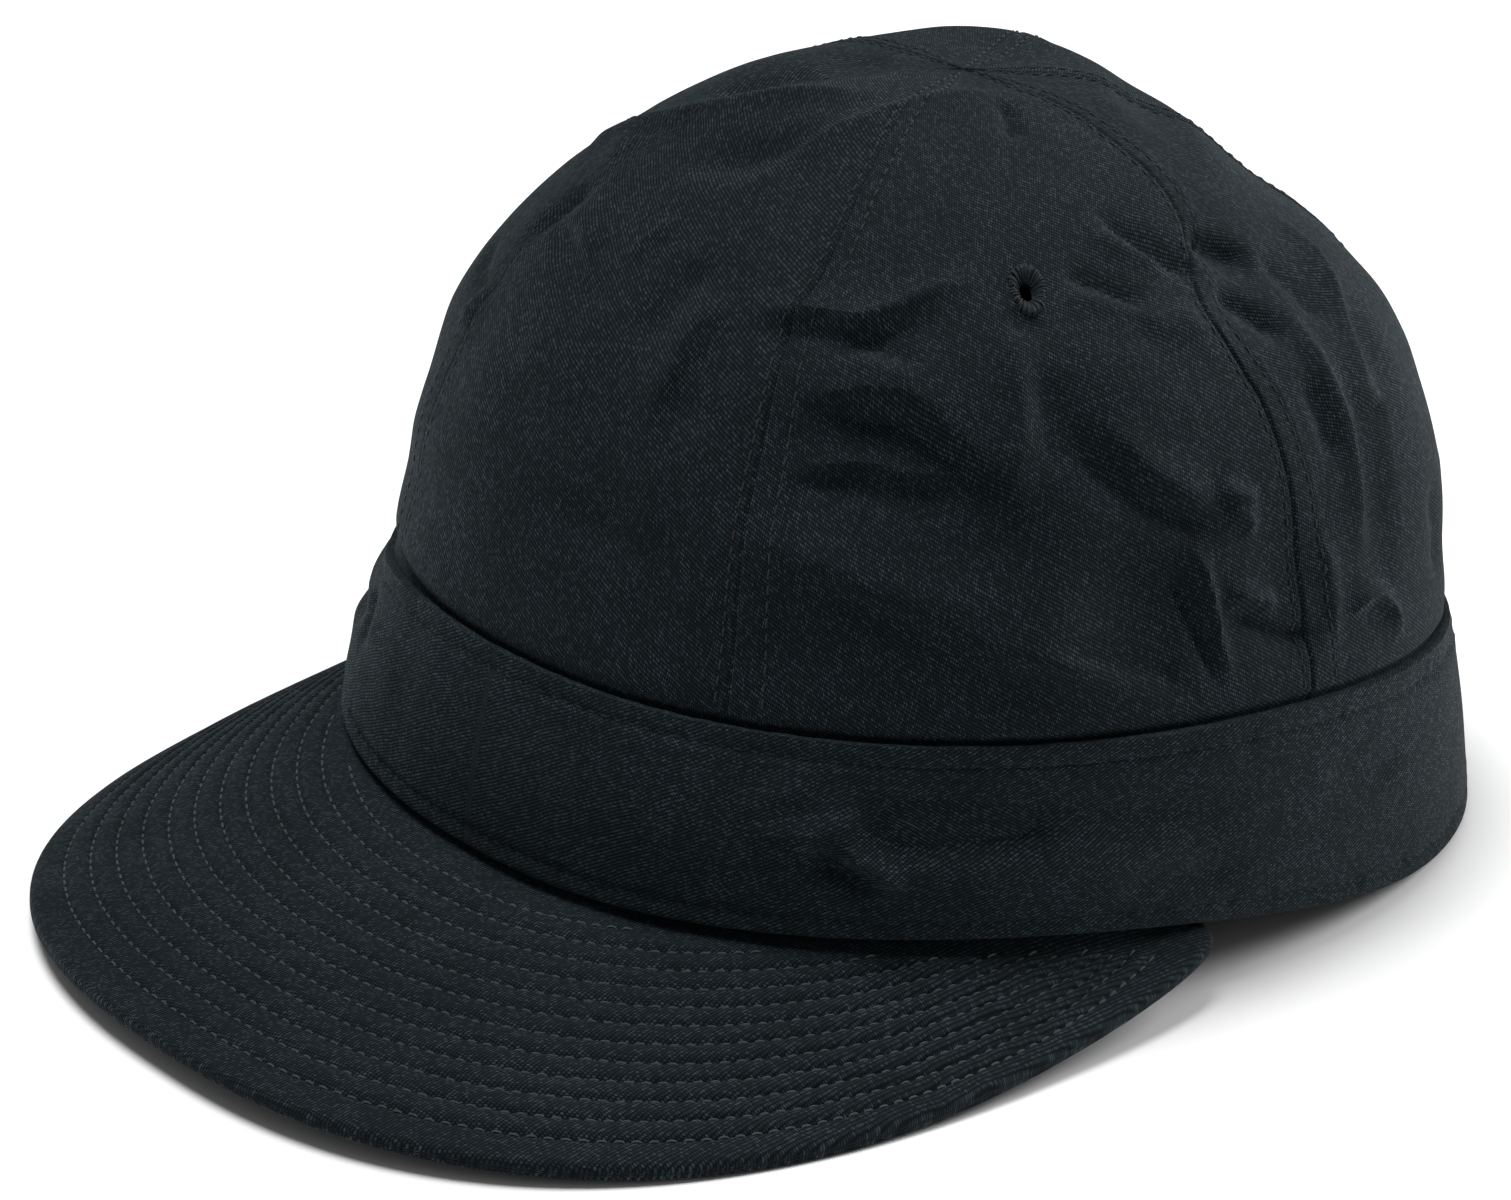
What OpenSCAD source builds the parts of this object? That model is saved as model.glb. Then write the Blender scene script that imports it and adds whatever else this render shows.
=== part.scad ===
// Six-panel bump cap: a soft crown on a wide folded band, a row-stitched brim and a hard insert
// that lifts out of the crown. +X is the wearer's left, -Y the front and +Z up.
// The cap stands on the brim's edge and on the back of its band; the origin is on that surface,
// under the middle of the cap's box.
//
// Shapes are written in the cap's own frame first: z = 0 is the band's lower edge, z runs up the
// crown, and an angle t goes round from the front (0) over the wearer's left (90) to the back (180).
// place() then leans that frame back until the brim's edge and the band touch the surface.

/* [Crown] */
// Half width of the band over its top edge
band_top_a = 91.7; // [89:0.1:94]
// Half length of the band over its top edge
band_top_b = 97.4; // [95:0.1:102]
// Height of the band's top edge over its lower edge
band_h = 35.8; // [32:0.1:40]
// Height of the crown's top over the band's lower edge
crown_h = 131; // [124:0.1:138]
// How far the crown's top sits ahead of the middle
apex_ahead = 2.3; // [0:0.1:6]
// Angle of the two front seams
front_seam = 27; // [24:1:32]
// Angle of the two side seams
side_seam = 92; // [86:1:96]
// Angle of the two rear seams
rear_seam = 153; // [148:1:156]

/* [Band] */
// Half width of the band over its lower edge
band_low_a = 92.2; // [89:0.2:95]
// Half length of the band over its lower edge
band_low_b = 104.3; // [100:0.1:108]
// How far the lower edge reaches back of the middle
band_low_back = 3.9; // [0:0.1:6]
// Thickness of the folded band
band_t = 2.4; // [1.8:0.1:2.6]
// Height of the sweatband
sweatband_h = 32; // [26:1:34]

/* [Brim] */
// Distance from the middle of the cap to the brim's tip
brim_reach = 165; // [155:1:175]
// Half width of the brim
brim_half_w = 98; // [96:0.5:102]
// Angle round the band at which each end of the brim is sewn in
brim_end = 80; // [74:1:84]
// Depth of the brim's edge under the band's lower edge
brim_drop = 21.2; // [16:0.1:24]
// Distance between two rows of brim stitching
row_pitch = 5; // [4.5:0.1:6]
// Number of rows of brim stitching
brim_rows = 12; // [9:1:12]

/* [Insert] */
// Gap between the hard shell and the crown cloth
shell_gap = 6.5; // [6:0.1:8]
// Thickness of the hard shell
shell_t = 2.2; // [1.8:0.1:2.6]
// Height of the shell's rim over the band's lower edge
shell_rim = 45; // [42:1:50]
// Thickness of the comfort pads
pad_t = 5; // [4:0.5:6]

/* [Hidden] */

twill = "#23292d";
twill_light = "#2b3236";
thread = "#4b545a";
lining = "#191b1e";
shell_black = "#202326";
foam = "#3a3d42";
hook_grey = "#0f1012";

cloth_t = 0.9;          // one layer of crown twill
clear = 0.5;            // gap between layers that lie on each other
thread_lift = 0.3;      // gap between a thread and the cloth under it
crown_inset = band_t + clear;
hem_low = 5;            // the crown cloth ends this far over the band's lower edge
tip_ratio = 0.995;      // crown rows stop here, short of a single point
seam_gap = 0.06;        // half the gap between two panels, in degrees
tape_w = 12;            // width of a seam tape
tape_t = 0.5;
sweat_t = 1.6;
thread_d = 0.7;
stitch_off = 3.2;       // distance of a stitched row from a folded band edge
cover_t = 0.8;
board_t = 1.4;          // room for the board between the covers
board_gap = 0.2;        // gap between the board and each cover
edge_row = 6.5;         // distance of the first brim row from the edge
board_short = 3;        // the board stops this far inside the covers
patch_t = 2;
patch_w = 26;
patch_h = 22;
patch_gap = 0.4;        // gap between a loop patch and the hook patch that meets it
eyelet_t = 57.5;         // angle of an eyelet
eyelet_u = 0.727;       // height of an eyelet as a share of the crown
eyelet_w = 3.5;         // half width of an eyelet
eyelet_hole = 1.2;      // half width of its hole
eyelet_tall = 1.5;      // height of an eyelet against its width
eyelet_thick = 2.2;
narrowing = 0.6;        // share by which the stitches beside a seam close up towards the top

// ---------- curves in the cap's own frame ----------

function mix(p, q, f) = p + (q - p) * f;
function signed_pow(v, k) = sign(v) * pow(abs(v), k);

// A rounded oval: its point at angle t, with half width a, half length b and squareness n
function oval(t, a, b, n) =
    pow(pow(abs(sin(t)) / a, n) + pow(abs(cos(t)) / b, n), -1 / n) * [sin(t), -cos(t)];

// Top and lower edge of the band, moved inward by inset
function band_top(t, inset = 0) =
    let (p = oval(t, band_top_a - inset, band_top_b - inset, 2.2))
    [p.x, p.y, band_h - 1.9 * cos(2 * t)];

function band_low(t, inset = 0) =
    let (p = oval(t, band_low_a - inset, band_low_b - inset, 2.4))
    [p.x, p.y + band_low_back, 0.6 * cos(t) + 0.9 * cos(2 * t) - 3.3 * cos(3 * t)];

// Wall of the band: f = 0 at the lower edge and 1 at the top edge, slightly rounded outward
function band_wall(t, f, inset) =
    let (p = mix(band_low(t, inset), band_top(t, inset), f))
    p + 0.8 * sin(180 * f) * [sin(t), -cos(t), 0];

// The crown over the band: u = 0 at the band's top edge and 1 at the crown's top
function crown_ratio(u) = pow(1 - pow(u, 2.56), 1 / 1.6) * (1 - 0.02 * u);

function crown(t, u, inset) =
    let (p = oval(t, band_top_a - crown_inset - inset, band_top_b - crown_inset - inset, 2.2))
    let (base = band_top(t).z)
    [p.x * crown_ratio(u), p.y * crown_ratio(u) - apex_ahead * u * u,
     base + (crown_h - inset - base) * u];

// Shares of the crown's height, closer together where it curves most
function crown_u(v) = sin(90 * v * tip_ratio);

// Crown cloth from its hem inside the band (v = -1) over the band's top edge (0) to the top (1)
function panel_point(t, v, inset) =
    v >= 0 ? crown(t, crown_u(v), inset)
    : band_wall(t, mix(1, hem_low / band_h, -v), crown_inset + inset);

// Angle taken up by a distance d along the crown, at height v near angle t
function arc(t, v, d) =
    let (p = crown(t, crown_u(v), 0))
    d / norm([p.x, p.y]) * 180 / PI;

// ---------- brim ----------

brim_mid_y = -50;
brim_len = brim_reach + brim_mid_y;
brim_under = 4.5;       // the brim is sewn in this far under the band
front_share = 0.86;     // share of the brim's edge ahead of its widest place
brim_thick = 2 * cover_t + board_t;

function brim_edge_z(y) = -brim_drop + 11 * pow(max(0, (y + 150) / 100), 2);

// Outline of the brim, s = -1 at the wearer's right end and 1 at the left end
function brim_edge_xy(s) =
    let (q = abs(s))
    let (end = band_low(brim_end, -0.3))
    q <= front_share
    ? let (t = 90 * s / front_share)
      [brim_half_w * signed_pow(sin(t), 2 / 2.4), brim_mid_y - brim_len * pow(cos(t), 2 / 2.4)]
    : let (c = 90 * (q - front_share) / (1 - front_share))
      [sign(s) * (end.x + (brim_half_w - end.x) * pow(cos(c), 0.8)),
       brim_mid_y + (end.y - brim_mid_y) * pow(sin(c), 0.9)];

function brim_edge(s) = let (p = brim_edge_xy(s)) [p.x, p.y, brim_edge_z(p.y)];
function brim_root(s) = band_low(s * brim_end, brim_under) - [0, 0, clear];
function brim_width(s) = norm(brim_edge(s) - brim_root(s));

// Point on the brim's top face, f = 0 under the band and 1 on the edge
function brim_top(s, f) = mix(brim_root(s), brim_edge(s), f);

// ---------- how the cap stands ----------

touch_y = -112;          // where the brim's edge touches the surface
front_touch = [0, touch_y, brim_edge_z(touch_y) - brim_thick];
rear_touch = band_low(135);
lean = atan((rear_touch.z - front_touch.z) / (rear_touch.y - front_touch.y));

function leaned(p) = [p.x, p.y * cos(lean) + p.z * sin(lean), p.z * cos(lean) - p.y * sin(lean)];

stand_z = leaned(rear_touch).z;
tip_y = leaned(brim_edge(0) - [0, 0, brim_thick]).y;
back_y = leaned(band_low(180)).y;

module place() {
    translate([0, -(tip_y + back_y) / 2, -stand_z]) rotate([-lean, 0, 0]) children();
}

// ---------- solids from grids of points ----------

// A closed sheet from two grids of the same size: the outer face and the inner face
module sheet(outer, inner) {
    rows = len(outer);
    cols = len(outer[0]);
    count = rows * cols;
    points = [for (row = outer) each row, for (row = inner) each row];
    faces = [
        for (i = [0 : rows - 2], j = [0 : cols - 2])
            let (a = i * cols + j, b = a + 1, c = a + cols + 1, d = a + cols)
            each [[a, d, c], [a, c, b], [a + count, b + count, c + count], [a + count, c + count, d + count]],
        for (i = [0 : rows - 2])
            let (a = i * cols, d = a + cols, e = a + cols - 1, h = e + cols)
            each [[a, a + count, d + count], [a, d + count, d], [e, h, h + count], [e, h + count, e + count]],
        for (j = [0 : cols - 2])
            let (a = j, b = j + 1, c = (rows - 1) * cols + j, d = c + 1)
            each [[a, b, b + count], [a, b + count, a + count], [c, c + count, d + count], [c, d + count, d]],
    ];
    polyhedron(points, faces);
}

// A closed ring from a list of loops, each loop being one closed cross section
module ring(sections) {
    n = len(sections);
    m = len(sections[0]);
    faces = [
        for (i = [0 : n - 1], j = [0 : m - 1])
            let (k = (i + 1) % n, l = (j + 1) % m)
            each [[i * m + j, k * m + j, k * m + l], [i * m + j, k * m + l, i * m + l]],
    ];
    polyhedron([for (s = sections) each s], faces);
}

// An open run of cross sections, closed by a flat face at each end
module run_of(sections) {
    n = len(sections);
    m = len(sections[0]);
    faces = [
        [for (j = [0 : m - 1]) m - 1 - j],
        for (i = [0 : n - 2], j = [0 : m - 1])
            let (l = (j + 1) % m)
            each [[i * m + j, i * m + l, (i + 1) * m + l], [i * m + j, (i + 1) * m + l, (i + 1) * m + j]],
        [for (j = [0 : m - 1]) (n - 1) * m + j],
    ];
    polyhedron([for (s = sections) each s], faces);
}

// ---------- crown ----------

panel_rows = concat([-1, -0.5], [for (k = [0 : 14]) k / 14]);
panel_cols = 10;

module panel_cloth(t0, t1) {
    outer = [for (v = panel_rows) [for (j = [0 : panel_cols])
        panel_point(mix(t0 + seam_gap, t1 - seam_gap, j / panel_cols), v, 0)]];
    inner = [for (v = panel_rows) [for (j = [0 : panel_cols])
        panel_point(mix(t0 + seam_gap, t1 - seam_gap, j / panel_cols), v, cloth_t)]];
    sheet(outer, inner);
}

// Puts its children at an eyelet, with z along the outward normal of the crown there
module at_eyelet(side) {
    here = crown(eyelet_t, eyelet_u, 0);
    up = crown(eyelet_t, eyelet_u + 0.01, 0) - crown(eyelet_t, eyelet_u - 0.01, 0);
    along = crown(eyelet_t + 1, eyelet_u, 0) - crown(eyelet_t - 1, eyelet_u, 0);
    out = cross(along, up) / norm(cross(along, up));
    mirror([side < 0 ? 1 : 0, 0, 0])
        translate(here)
            rotate([0, 0, atan2(out.y, out.x)]) rotate([0, acos(out.z), 0]) children();
}

module side_front_panel(side) {
    place() difference() {
        mirror([side < 0 ? 1 : 0, 0, 0]) panel_cloth(front_seam, side_seam);
        at_eyelet(side) scale([eyelet_tall, 1, 1])
            cylinder(h = 8, r = eyelet_w + 0.1, center = true, $fn = 40);
    }
}

module eyelet(side) {
    high = (eyelet_thick - cloth_t) / 2;
    low = high - eyelet_thick;
    color(thread) place() at_eyelet(side) ring([for (k = [0 : 35])
        let (ray = [eyelet_tall * cos(10 * k), sin(10 * k), 0])
        [eyelet_w * ray + [0, 0, low], eyelet_hole * ray + [0, 0, low],
         eyelet_hole * ray + [0, 0, high], eyelet_w * ray + [0, 0, high]]]);
}

module crown_front_panel() { color(twill) place() panel_cloth(-front_seam, front_seam); }
module crown_rear_panel() { color(twill) place() panel_cloth(rear_seam, 360 - rear_seam); }
module crown_left_front_panel() { color(twill) side_front_panel(1); }
module crown_right_front_panel() { color(twill) side_front_panel(-1); }
module crown_left_rear_panel() { color(twill) place() panel_cloth(side_seam, rear_seam); }
module crown_right_rear_panel() { color(twill) place() panel_cloth(360 - rear_seam, 360 - side_seam); }
module left_eyelet() { eyelet(1); }
module right_eyelet() { eyelet(-1); }

seams = [front_seam, side_seam, rear_seam, 360 - rear_seam, 360 - side_seam, 360 - front_seam];

// One tape under one seam, from the band's top edge to near the crown's top
module seam_tape(t) {
    rows = [for (k = [0 : 9]) 0.05 + 0.083 * k];
    half = function (v) min(tape_w / 2, 0.42 * norm(crown(t, crown_u(v), 0) - [0, -apex_ahead, crown_h]));
    layer = function (depth) [for (v = rows) [for (j = [-1 : 1])
        panel_point(t + arc(t, v, j * half(v)), v, depth)]];
    sheet(layer(cloth_t + clear), layer(cloth_t + clear + tape_t));
}

module seam_tapes() { color(lining) place() for (t = seams) seam_tape(t); }

// A thread that lies on the crown beside a seam, on the seam's rear side for a positive distance
module crown_thread(t, beside) {
    side = t < 180 ? 1 : -1;
    at = function (v, lift, shift)
        panel_point(t + arc(t, v, (side * beside + shift) * (1 - narrowing * v)), v, -lift);
    run_of([for (k = [0 : 14]) let (v = 0.02 + 0.06 * k)
        [at(v, thread_lift, -thread_d / 2), at(v, thread_lift, thread_d / 2),
         at(v, thread_lift + thread_d, 0)]]);
}

module crown_topstitching() {
    color(thread) place() for (t = seams, beside = [-2.2, 6]) crown_thread(t, beside);
}

// ---------- band ----------

ring_steps = 72;
ring_angles = [for (i = [0 : ring_steps - 1]) 360 * i / ring_steps];

module outer_band() {
    color(twill_light) place() ring([for (t = ring_angles) [
        band_wall(t, 0, 0), band_wall(t, 0, band_t),
        band_wall(t, 0.5, band_t), band_wall(t, 1, band_t),
        band_wall(t, 1, 0), band_wall(t, 0.75, 0), band_wall(t, 0.5, 0), band_wall(t, 0.25, 0),
    ]]);
}

module band_thread(f) {
    half = thread_d / 2 / band_h;
    ring([for (t = ring_angles) [
        band_wall(t, f - half, -thread_lift), band_wall(t, f + half, -thread_lift),
        band_wall(t, f, -thread_lift - thread_d),
    ]]);
}

module band_stitching() {
    color(thread) place() {
        band_thread(stitch_off / band_h);
        band_thread(1 - stitch_off / band_h);
    }
}

module sweatband() {
    out = crown_inset + cloth_t + clear;
    low = 0.5 / band_h;
    high = sweatband_h / band_h;
    color(lining) place() ring([for (t = ring_angles) [
        band_wall(t, low, out), band_wall(t, low, out + sweat_t),
        band_wall(t, high / 2, out + sweat_t), band_wall(t, high, out + sweat_t),
        band_wall(t, high, out), band_wall(t, high / 2, out),
    ]]);
}

// ---------- brim pieces ----------

brim_cols = 40;
brim_shares = [0, 0.25, 0.5, 0.75, 1];

// One layer of the brim between two depths under its top face, ending short of the edge
module brim_layer(top, low, short = 0) {
    at = function (s, f, depth) brim_top(s, f * (1 - short / brim_width(s))) - [0, 0, depth];
    stops = [for (j = [0 : brim_cols]) -1 + 2 * j / brim_cols];
    outer = [for (f = brim_shares) [for (s = stops) at(s, f, top)]];
    inner = [for (f = brim_shares) [for (s = stops) at(s, f, low)]];
    sheet(outer, inner);
}

module brim_top_cover() { color(twill_light) place() brim_layer(0, cover_t); }
module brim_under_cover() { color(twill) place() brim_layer(cover_t + board_t, brim_thick); }
module brim_board() {
    color("#1f2022") place() brim_layer(cover_t + board_gap, cover_t + board_t - board_gap, board_short);
}

// Largest share of the half brim over which a row at this distance from the edge still clears the band
function row_end(distance, s = 0.98) =
    s < 0.1 || brim_width(s) - brim_under - 2 > distance ? s : row_end(distance, s - 0.02);

module brim_row(distance) {
    reach = row_end(distance);
    steps = 20;
    at = function (s, shift, lift) brim_top(s, 1 - (distance + shift) / brim_width(s)) + [0, 0, lift];
    run_of([for (i = [0 : steps]) let (s = reach * (2 * i / steps - 1))
        [at(s, thread_d / 2, thread_lift), at(s, -thread_d / 2, thread_lift),
         at(s, 0, thread_lift + thread_d)]]);
}

module brim_stitching() {
    color(thread) place() for (k = [0 : brim_rows - 1]) brim_row(edge_row + k * row_pitch);
}

// ---------- insert ----------

shell_inset = cloth_t + shell_gap;
shell_u0 = (shell_rim - band_h) / (crown_h - band_h);

// Rows of the shell, from its rim (w = 0) to its top (w = 1)
function shell_u(w) = mix(shell_u0, 1, sin(90 * w * tip_ratio));
function shell_point(t, w, depth) = crown(t, shell_u(w), shell_inset + depth);

shell_cols = 60;
shell_rows = 10;

// Vent windows of the shell: two rows of slots, each two cells wide, all above the patches
function is_vent(i, j) =
    (j == 4 && (i % 6 == 2 || i % 6 == 3)) || (j == 6 && (i % 10 == 4 || i % 10 == 5));

// The shell as one closed skin: its two faces, the walls of its vents, its rim and its top edge
module impact_shell() {
    n = shell_cols;
    count = n * (shell_rows + 1);
    at = function (i, j) j * n + (i + n) % n;
    grid = function (depth) [for (j = [0 : shell_rows], i = [0 : n - 1])
        shell_point(360 * i / n, j / shell_rows, depth)];
    edge = function (p, q) [[p, q, q + count], [p, q + count, p + count]];
    faces = [
        for (j = [0 : shell_rows - 1], i = [0 : n - 1])
            let (a = at(i, j), b = at(i + 1, j), c = at(i + 1, j + 1), d = at(i, j + 1))
            each !is_vent(i, j)
                ? [[a, c, b], [a, d, c], [a + count, b + count, c + count], [a + count, c + count, d + count]]
                : concat(
                    is_vent(i, j - 1) ? [] : edge(b, a),
                    is_vent(i + 1, j) ? [] : edge(c, b),
                    is_vent(i, j + 1) ? [] : edge(d, c),
                    is_vent(i - 1 + n, j) ? [] : edge(a, d)),
        for (i = [0 : n - 1])
            each concat(edge(at(i, 0), at(i + 1, 0)), edge(at(i + 1, shell_rows), at(i, shell_rows))),
    ];
    color(shell_black) place() polyhedron(concat(grid(0), grid(shell_t)), faces);
}

// A soft bead round the shell's rim, just under it
module shell_rim_trim() {
    color(hook_grey) place() ring([for (t = ring_angles)
        let (mid = mix(shell_point(t, 0, 0), shell_point(t, 0, shell_t), 0.5) - [0, 0, 1.9])
        let (out = [sin(t), -cos(t), 0])
        [for (k = [0 : 4]) mid + 1.8 * (cos(72 * k) * out + [0, 0, sin(72 * k)])]]);
}

// A rounded-off patch of sheet on the crown or the shell, centred at angle t and share u
module crown_patch(t, u, w, h, depth0, depth1, cols = 4, rows = 4) {
    r = norm([crown(t, u, depth0).x, crown(t, u, depth0).y]);
    du = h / 2 / norm(crown(t, u + 0.005, 0) - crown(t, u - 0.005, 0)) * 0.01;
    dt = w / 2 / r * 180 / PI;
    at = function (i, j, depth) crown(t + dt * (2 * j / cols - 1), u + du * (2 * i / rows - 1), depth);
    sheet([for (i = [0 : rows]) [for (j = [0 : cols]) at(i, j, depth0)]],
          [for (i = [0 : rows]) [for (j = [0 : cols]) at(i, j, depth1)]]);
}

patch_u = 0.33;
loop_face = cloth_t + clear + patch_t;
hook_face = shell_inset - clear;

module loop_patch(t) {
    color(lining) place() crown_patch(t, patch_u, patch_w, patch_h, cloth_t + clear, loop_face);
}

module hook_patch(t) {
    color(hook_grey) place() crown_patch(t, patch_u, patch_w, patch_h, loop_face + patch_gap, hook_face);
}

module pad(t, w, h, u) {
    depth = shell_inset + shell_t + clear;
    color(foam) place() crown_patch(t, u, w, h, depth, depth + pad_t, 6, 5);
}

module front_loop_patch() { loop_patch(0); }
module rear_loop_patch() { loop_patch(180); }
module left_loop_patch() { loop_patch(70); }
module right_loop_patch() { loop_patch(-70); }
module front_hook_patch() { hook_patch(0); }
module rear_hook_patch() { hook_patch(180); }
module left_hook_patch() { hook_patch(70); }
module right_hook_patch() { hook_patch(-70); }

module front_pad() { pad(0, 80, 26, 0.30); }
module rear_pad() { pad(180, 80, 26, 0.30); }
module left_pad() { pad(90, 70, 24, 0.34); }
module right_pad() { pad(-90, 70, 24, 0.34); }

// A domed pad with a breathing hole in its middle, under the shell's top
module crown_pad() {
    depth = shell_inset + shell_t + clear;
    heights = [0.90, 0.94, 0.97, 0.99];
    color(foam) place() ring([for (i = [0 : 23]) let (t = 15 * i) concat(
        [for (k = [0 : 3]) crown(t, heights[k], depth)],
        [for (k = [3 : -1 : 0]) crown(t, heights[k], depth + pad_t)])]);
}

crown_front_panel();
crown_left_front_panel();
crown_left_rear_panel();
crown_right_front_panel();
crown_right_rear_panel();
crown_rear_panel();
left_eyelet();
right_eyelet();
seam_tapes();
crown_topstitching();
outer_band();
band_stitching();
sweatband();
brim_top_cover();
brim_board();
brim_under_cover();
brim_stitching();
front_loop_patch();
rear_loop_patch();
left_loop_patch();
right_loop_patch();
impact_shell();
shell_rim_trim();
front_hook_patch();
rear_hook_patch();
left_hook_patch();
right_hook_patch();
front_pad();
rear_pad();
left_pad();
right_pad();
crown_pad();
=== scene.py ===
"""Looks of the bump cap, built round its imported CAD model.

Shapes are written in millimetres in the cap's own frame, with the curves of part.scad: t is the angle
round from the front over the wearer's left, u the share of the crown's height and f the share of the
band's height. place() stands them on the floor and turns them into metres.
"""

import math

import bpy
import numpy as np
from mathutils import Matrix, Vector


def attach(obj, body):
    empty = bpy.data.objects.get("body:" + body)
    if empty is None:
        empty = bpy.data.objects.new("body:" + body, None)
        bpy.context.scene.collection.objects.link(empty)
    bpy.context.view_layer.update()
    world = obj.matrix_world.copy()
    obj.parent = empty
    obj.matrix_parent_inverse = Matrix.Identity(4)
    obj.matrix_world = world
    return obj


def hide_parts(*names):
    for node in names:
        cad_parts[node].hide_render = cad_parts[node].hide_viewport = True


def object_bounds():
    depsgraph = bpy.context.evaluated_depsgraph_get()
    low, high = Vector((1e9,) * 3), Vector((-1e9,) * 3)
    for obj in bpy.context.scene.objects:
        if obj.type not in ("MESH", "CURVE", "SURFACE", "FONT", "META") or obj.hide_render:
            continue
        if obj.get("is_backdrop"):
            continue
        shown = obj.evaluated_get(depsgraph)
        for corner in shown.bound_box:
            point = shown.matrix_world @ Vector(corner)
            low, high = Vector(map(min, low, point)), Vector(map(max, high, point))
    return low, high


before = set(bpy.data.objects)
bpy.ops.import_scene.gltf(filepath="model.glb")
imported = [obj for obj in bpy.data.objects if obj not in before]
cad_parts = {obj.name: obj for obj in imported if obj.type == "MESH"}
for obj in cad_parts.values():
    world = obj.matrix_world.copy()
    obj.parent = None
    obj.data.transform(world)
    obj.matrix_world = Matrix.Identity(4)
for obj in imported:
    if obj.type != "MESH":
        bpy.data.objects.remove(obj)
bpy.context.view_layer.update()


def box():
    return [[float(c) for c in corner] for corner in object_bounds()]


# ---------- the cap's curves, as in part.scad ----------

TOP_A, TOP_B, BAND_H = 91.7, 97.4, 35.8
LOW_A, LOW_B, LOW_BACK = 92.2, 104.3, 3.9
CROWN_H, APEX = 131.0, 2.3
BAND_T, CLEAR, CLOTH_T = 2.4, 0.5, 0.9
INSET = BAND_T + CLEAR
REACH, HALF_W, BRIM_END, DROP = 165.0, 98.0, 80.0, 21.2
COVER_T, BOARD_T = 0.8, 1.4
BRIM_THICK = 2 * COVER_T + BOARD_T
EDGE_ROW, ROW_PITCH, ROWS = 6.5, 5.0, 12
TIP = 0.995
SHELL_INSET, SHELL_T, SHELL_RIM = CLOTH_T + 6.5, 2.2, 45.0


def sind(a):
    return np.sin(np.radians(a))


def cosd(a):
    return np.cos(np.radians(a))


def mix(p, q, f):
    return p + (q - p) * f


def ease(x, lo, hi):
    """0 below lo and 1 above hi, smooth between them."""
    k = np.clip((x - lo) / (hi - lo), 0, 1)
    return k * k * (3 - 2 * k)


def bell(x, w):
    return np.exp(-((x / w) ** 2))


def xyz(*parts):
    """Points from their coordinates, two or three."""
    return np.stack(np.broadcast_arrays(*parts), -1).astype(float)


def oval(t, a, b, n):
    r = (np.abs(sind(t) / a) ** n + np.abs(cosd(t) / b) ** n) ** (-1 / n)
    return r * sind(t), -r * cosd(t)


def band_top(t, inset=0.0):
    x, y = oval(t, TOP_A - inset, TOP_B - inset, 2.2)
    return xyz(x, y, BAND_H - 1.9 * cosd(2 * t))


def band_low(t, inset=0.0):
    x, y = oval(t, LOW_A - inset, LOW_B - inset, 2.4)
    return xyz(x, y + LOW_BACK, 0.6 * cosd(t) + 0.9 * cosd(2 * t) - 3.3 * cosd(3 * t))


def band_wall(t, f, inset=0.0):
    f = np.asarray(f, float)
    low, top = band_low(t, inset), band_top(t, inset)
    bulge = 0.8 * sind(180 * np.clip(f, 0, 1))
    return low + (top - low) * f[..., None] + xyz(bulge * sind(t), -bulge * cosd(t), 0)


def crown(t, u, inset=0.0):
    u = np.clip(u, 0, 1)
    x, y = oval(t, TOP_A - INSET - inset, TOP_B - INSET - inset, 2.2)
    ratio = (1 - u**2.56) ** (1 / 1.6) * (1 - 0.02 * u)
    base = BAND_H - 1.9 * cosd(2 * t)
    return xyz(x * ratio, y * ratio - APEX * u * u, base + (CROWN_H - inset - base) * u)


def brim_edge_z(y):
    return -DROP + 11 * np.maximum(0, (y + 150) / 100) ** 2


def brim_edge(s):
    s = np.asarray(s, float)
    q, share, mid = np.abs(s), 0.86, -50.0
    end = band_low(BRIM_END, -0.3)
    t = 90 * np.minimum(q, share) / share
    c = 90 * np.clip((q - share) / (1 - share), 0, 1)
    front = q <= share
    x = np.where(
        front,
        HALF_W * sind(t) ** (2 / 2.4),
        end[0] + (HALF_W - end[0]) * np.clip(cosd(c), 0, 1) ** 0.8,
    )
    y = np.where(
        front,
        mid - (REACH + mid) * np.clip(cosd(t), 0, 1) ** (2 / 2.4),
        mid + (end[1] - mid) * np.clip(sind(c), 0, 1) ** 0.9,
    )
    return xyz(x * np.sign(s), y, brim_edge_z(y))


def brim_root(s):
    return band_low(np.asarray(s, float) * BRIM_END, 4.5) - [0, 0, CLEAR]


def norm(v):
    return np.linalg.norm(v, axis=-1)


def unit(v):
    return v / np.maximum(norm(v), 1e-9)[..., None]


def brim_width(s):
    return norm(brim_edge(s) - brim_root(s))


front_touch = np.array([0, -112.0, brim_edge_z(-112.0) - BRIM_THICK])
rear_touch = band_low(135.0)
LEAN = math.degrees(math.atan((rear_touch[2] - front_touch[2]) / (rear_touch[1] - front_touch[1])))


def leaned(p):
    x, y, z = np.moveaxis(np.asarray(p, float), -1, 0)
    return xyz(x, y * cosd(LEAN) + z * sind(LEAN), z * cosd(LEAN) - y * sind(LEAN))


STAND_Z = leaned(rear_touch)[2]
MID_Y = (leaned(brim_edge(0.0) - [0, 0, BRIM_THICK])[1] + leaned(band_low(180.0))[1]) / 2


def place(p):
    """From the cap's own frame in millimetres to the row frame in metres."""
    return (leaned(p) - [0, MID_Y, STAND_Z]) * 0.001


# ---------- noise and folds ----------

LATTICE = np.random.RandomState(11).rand(32, 32, 32)


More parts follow.
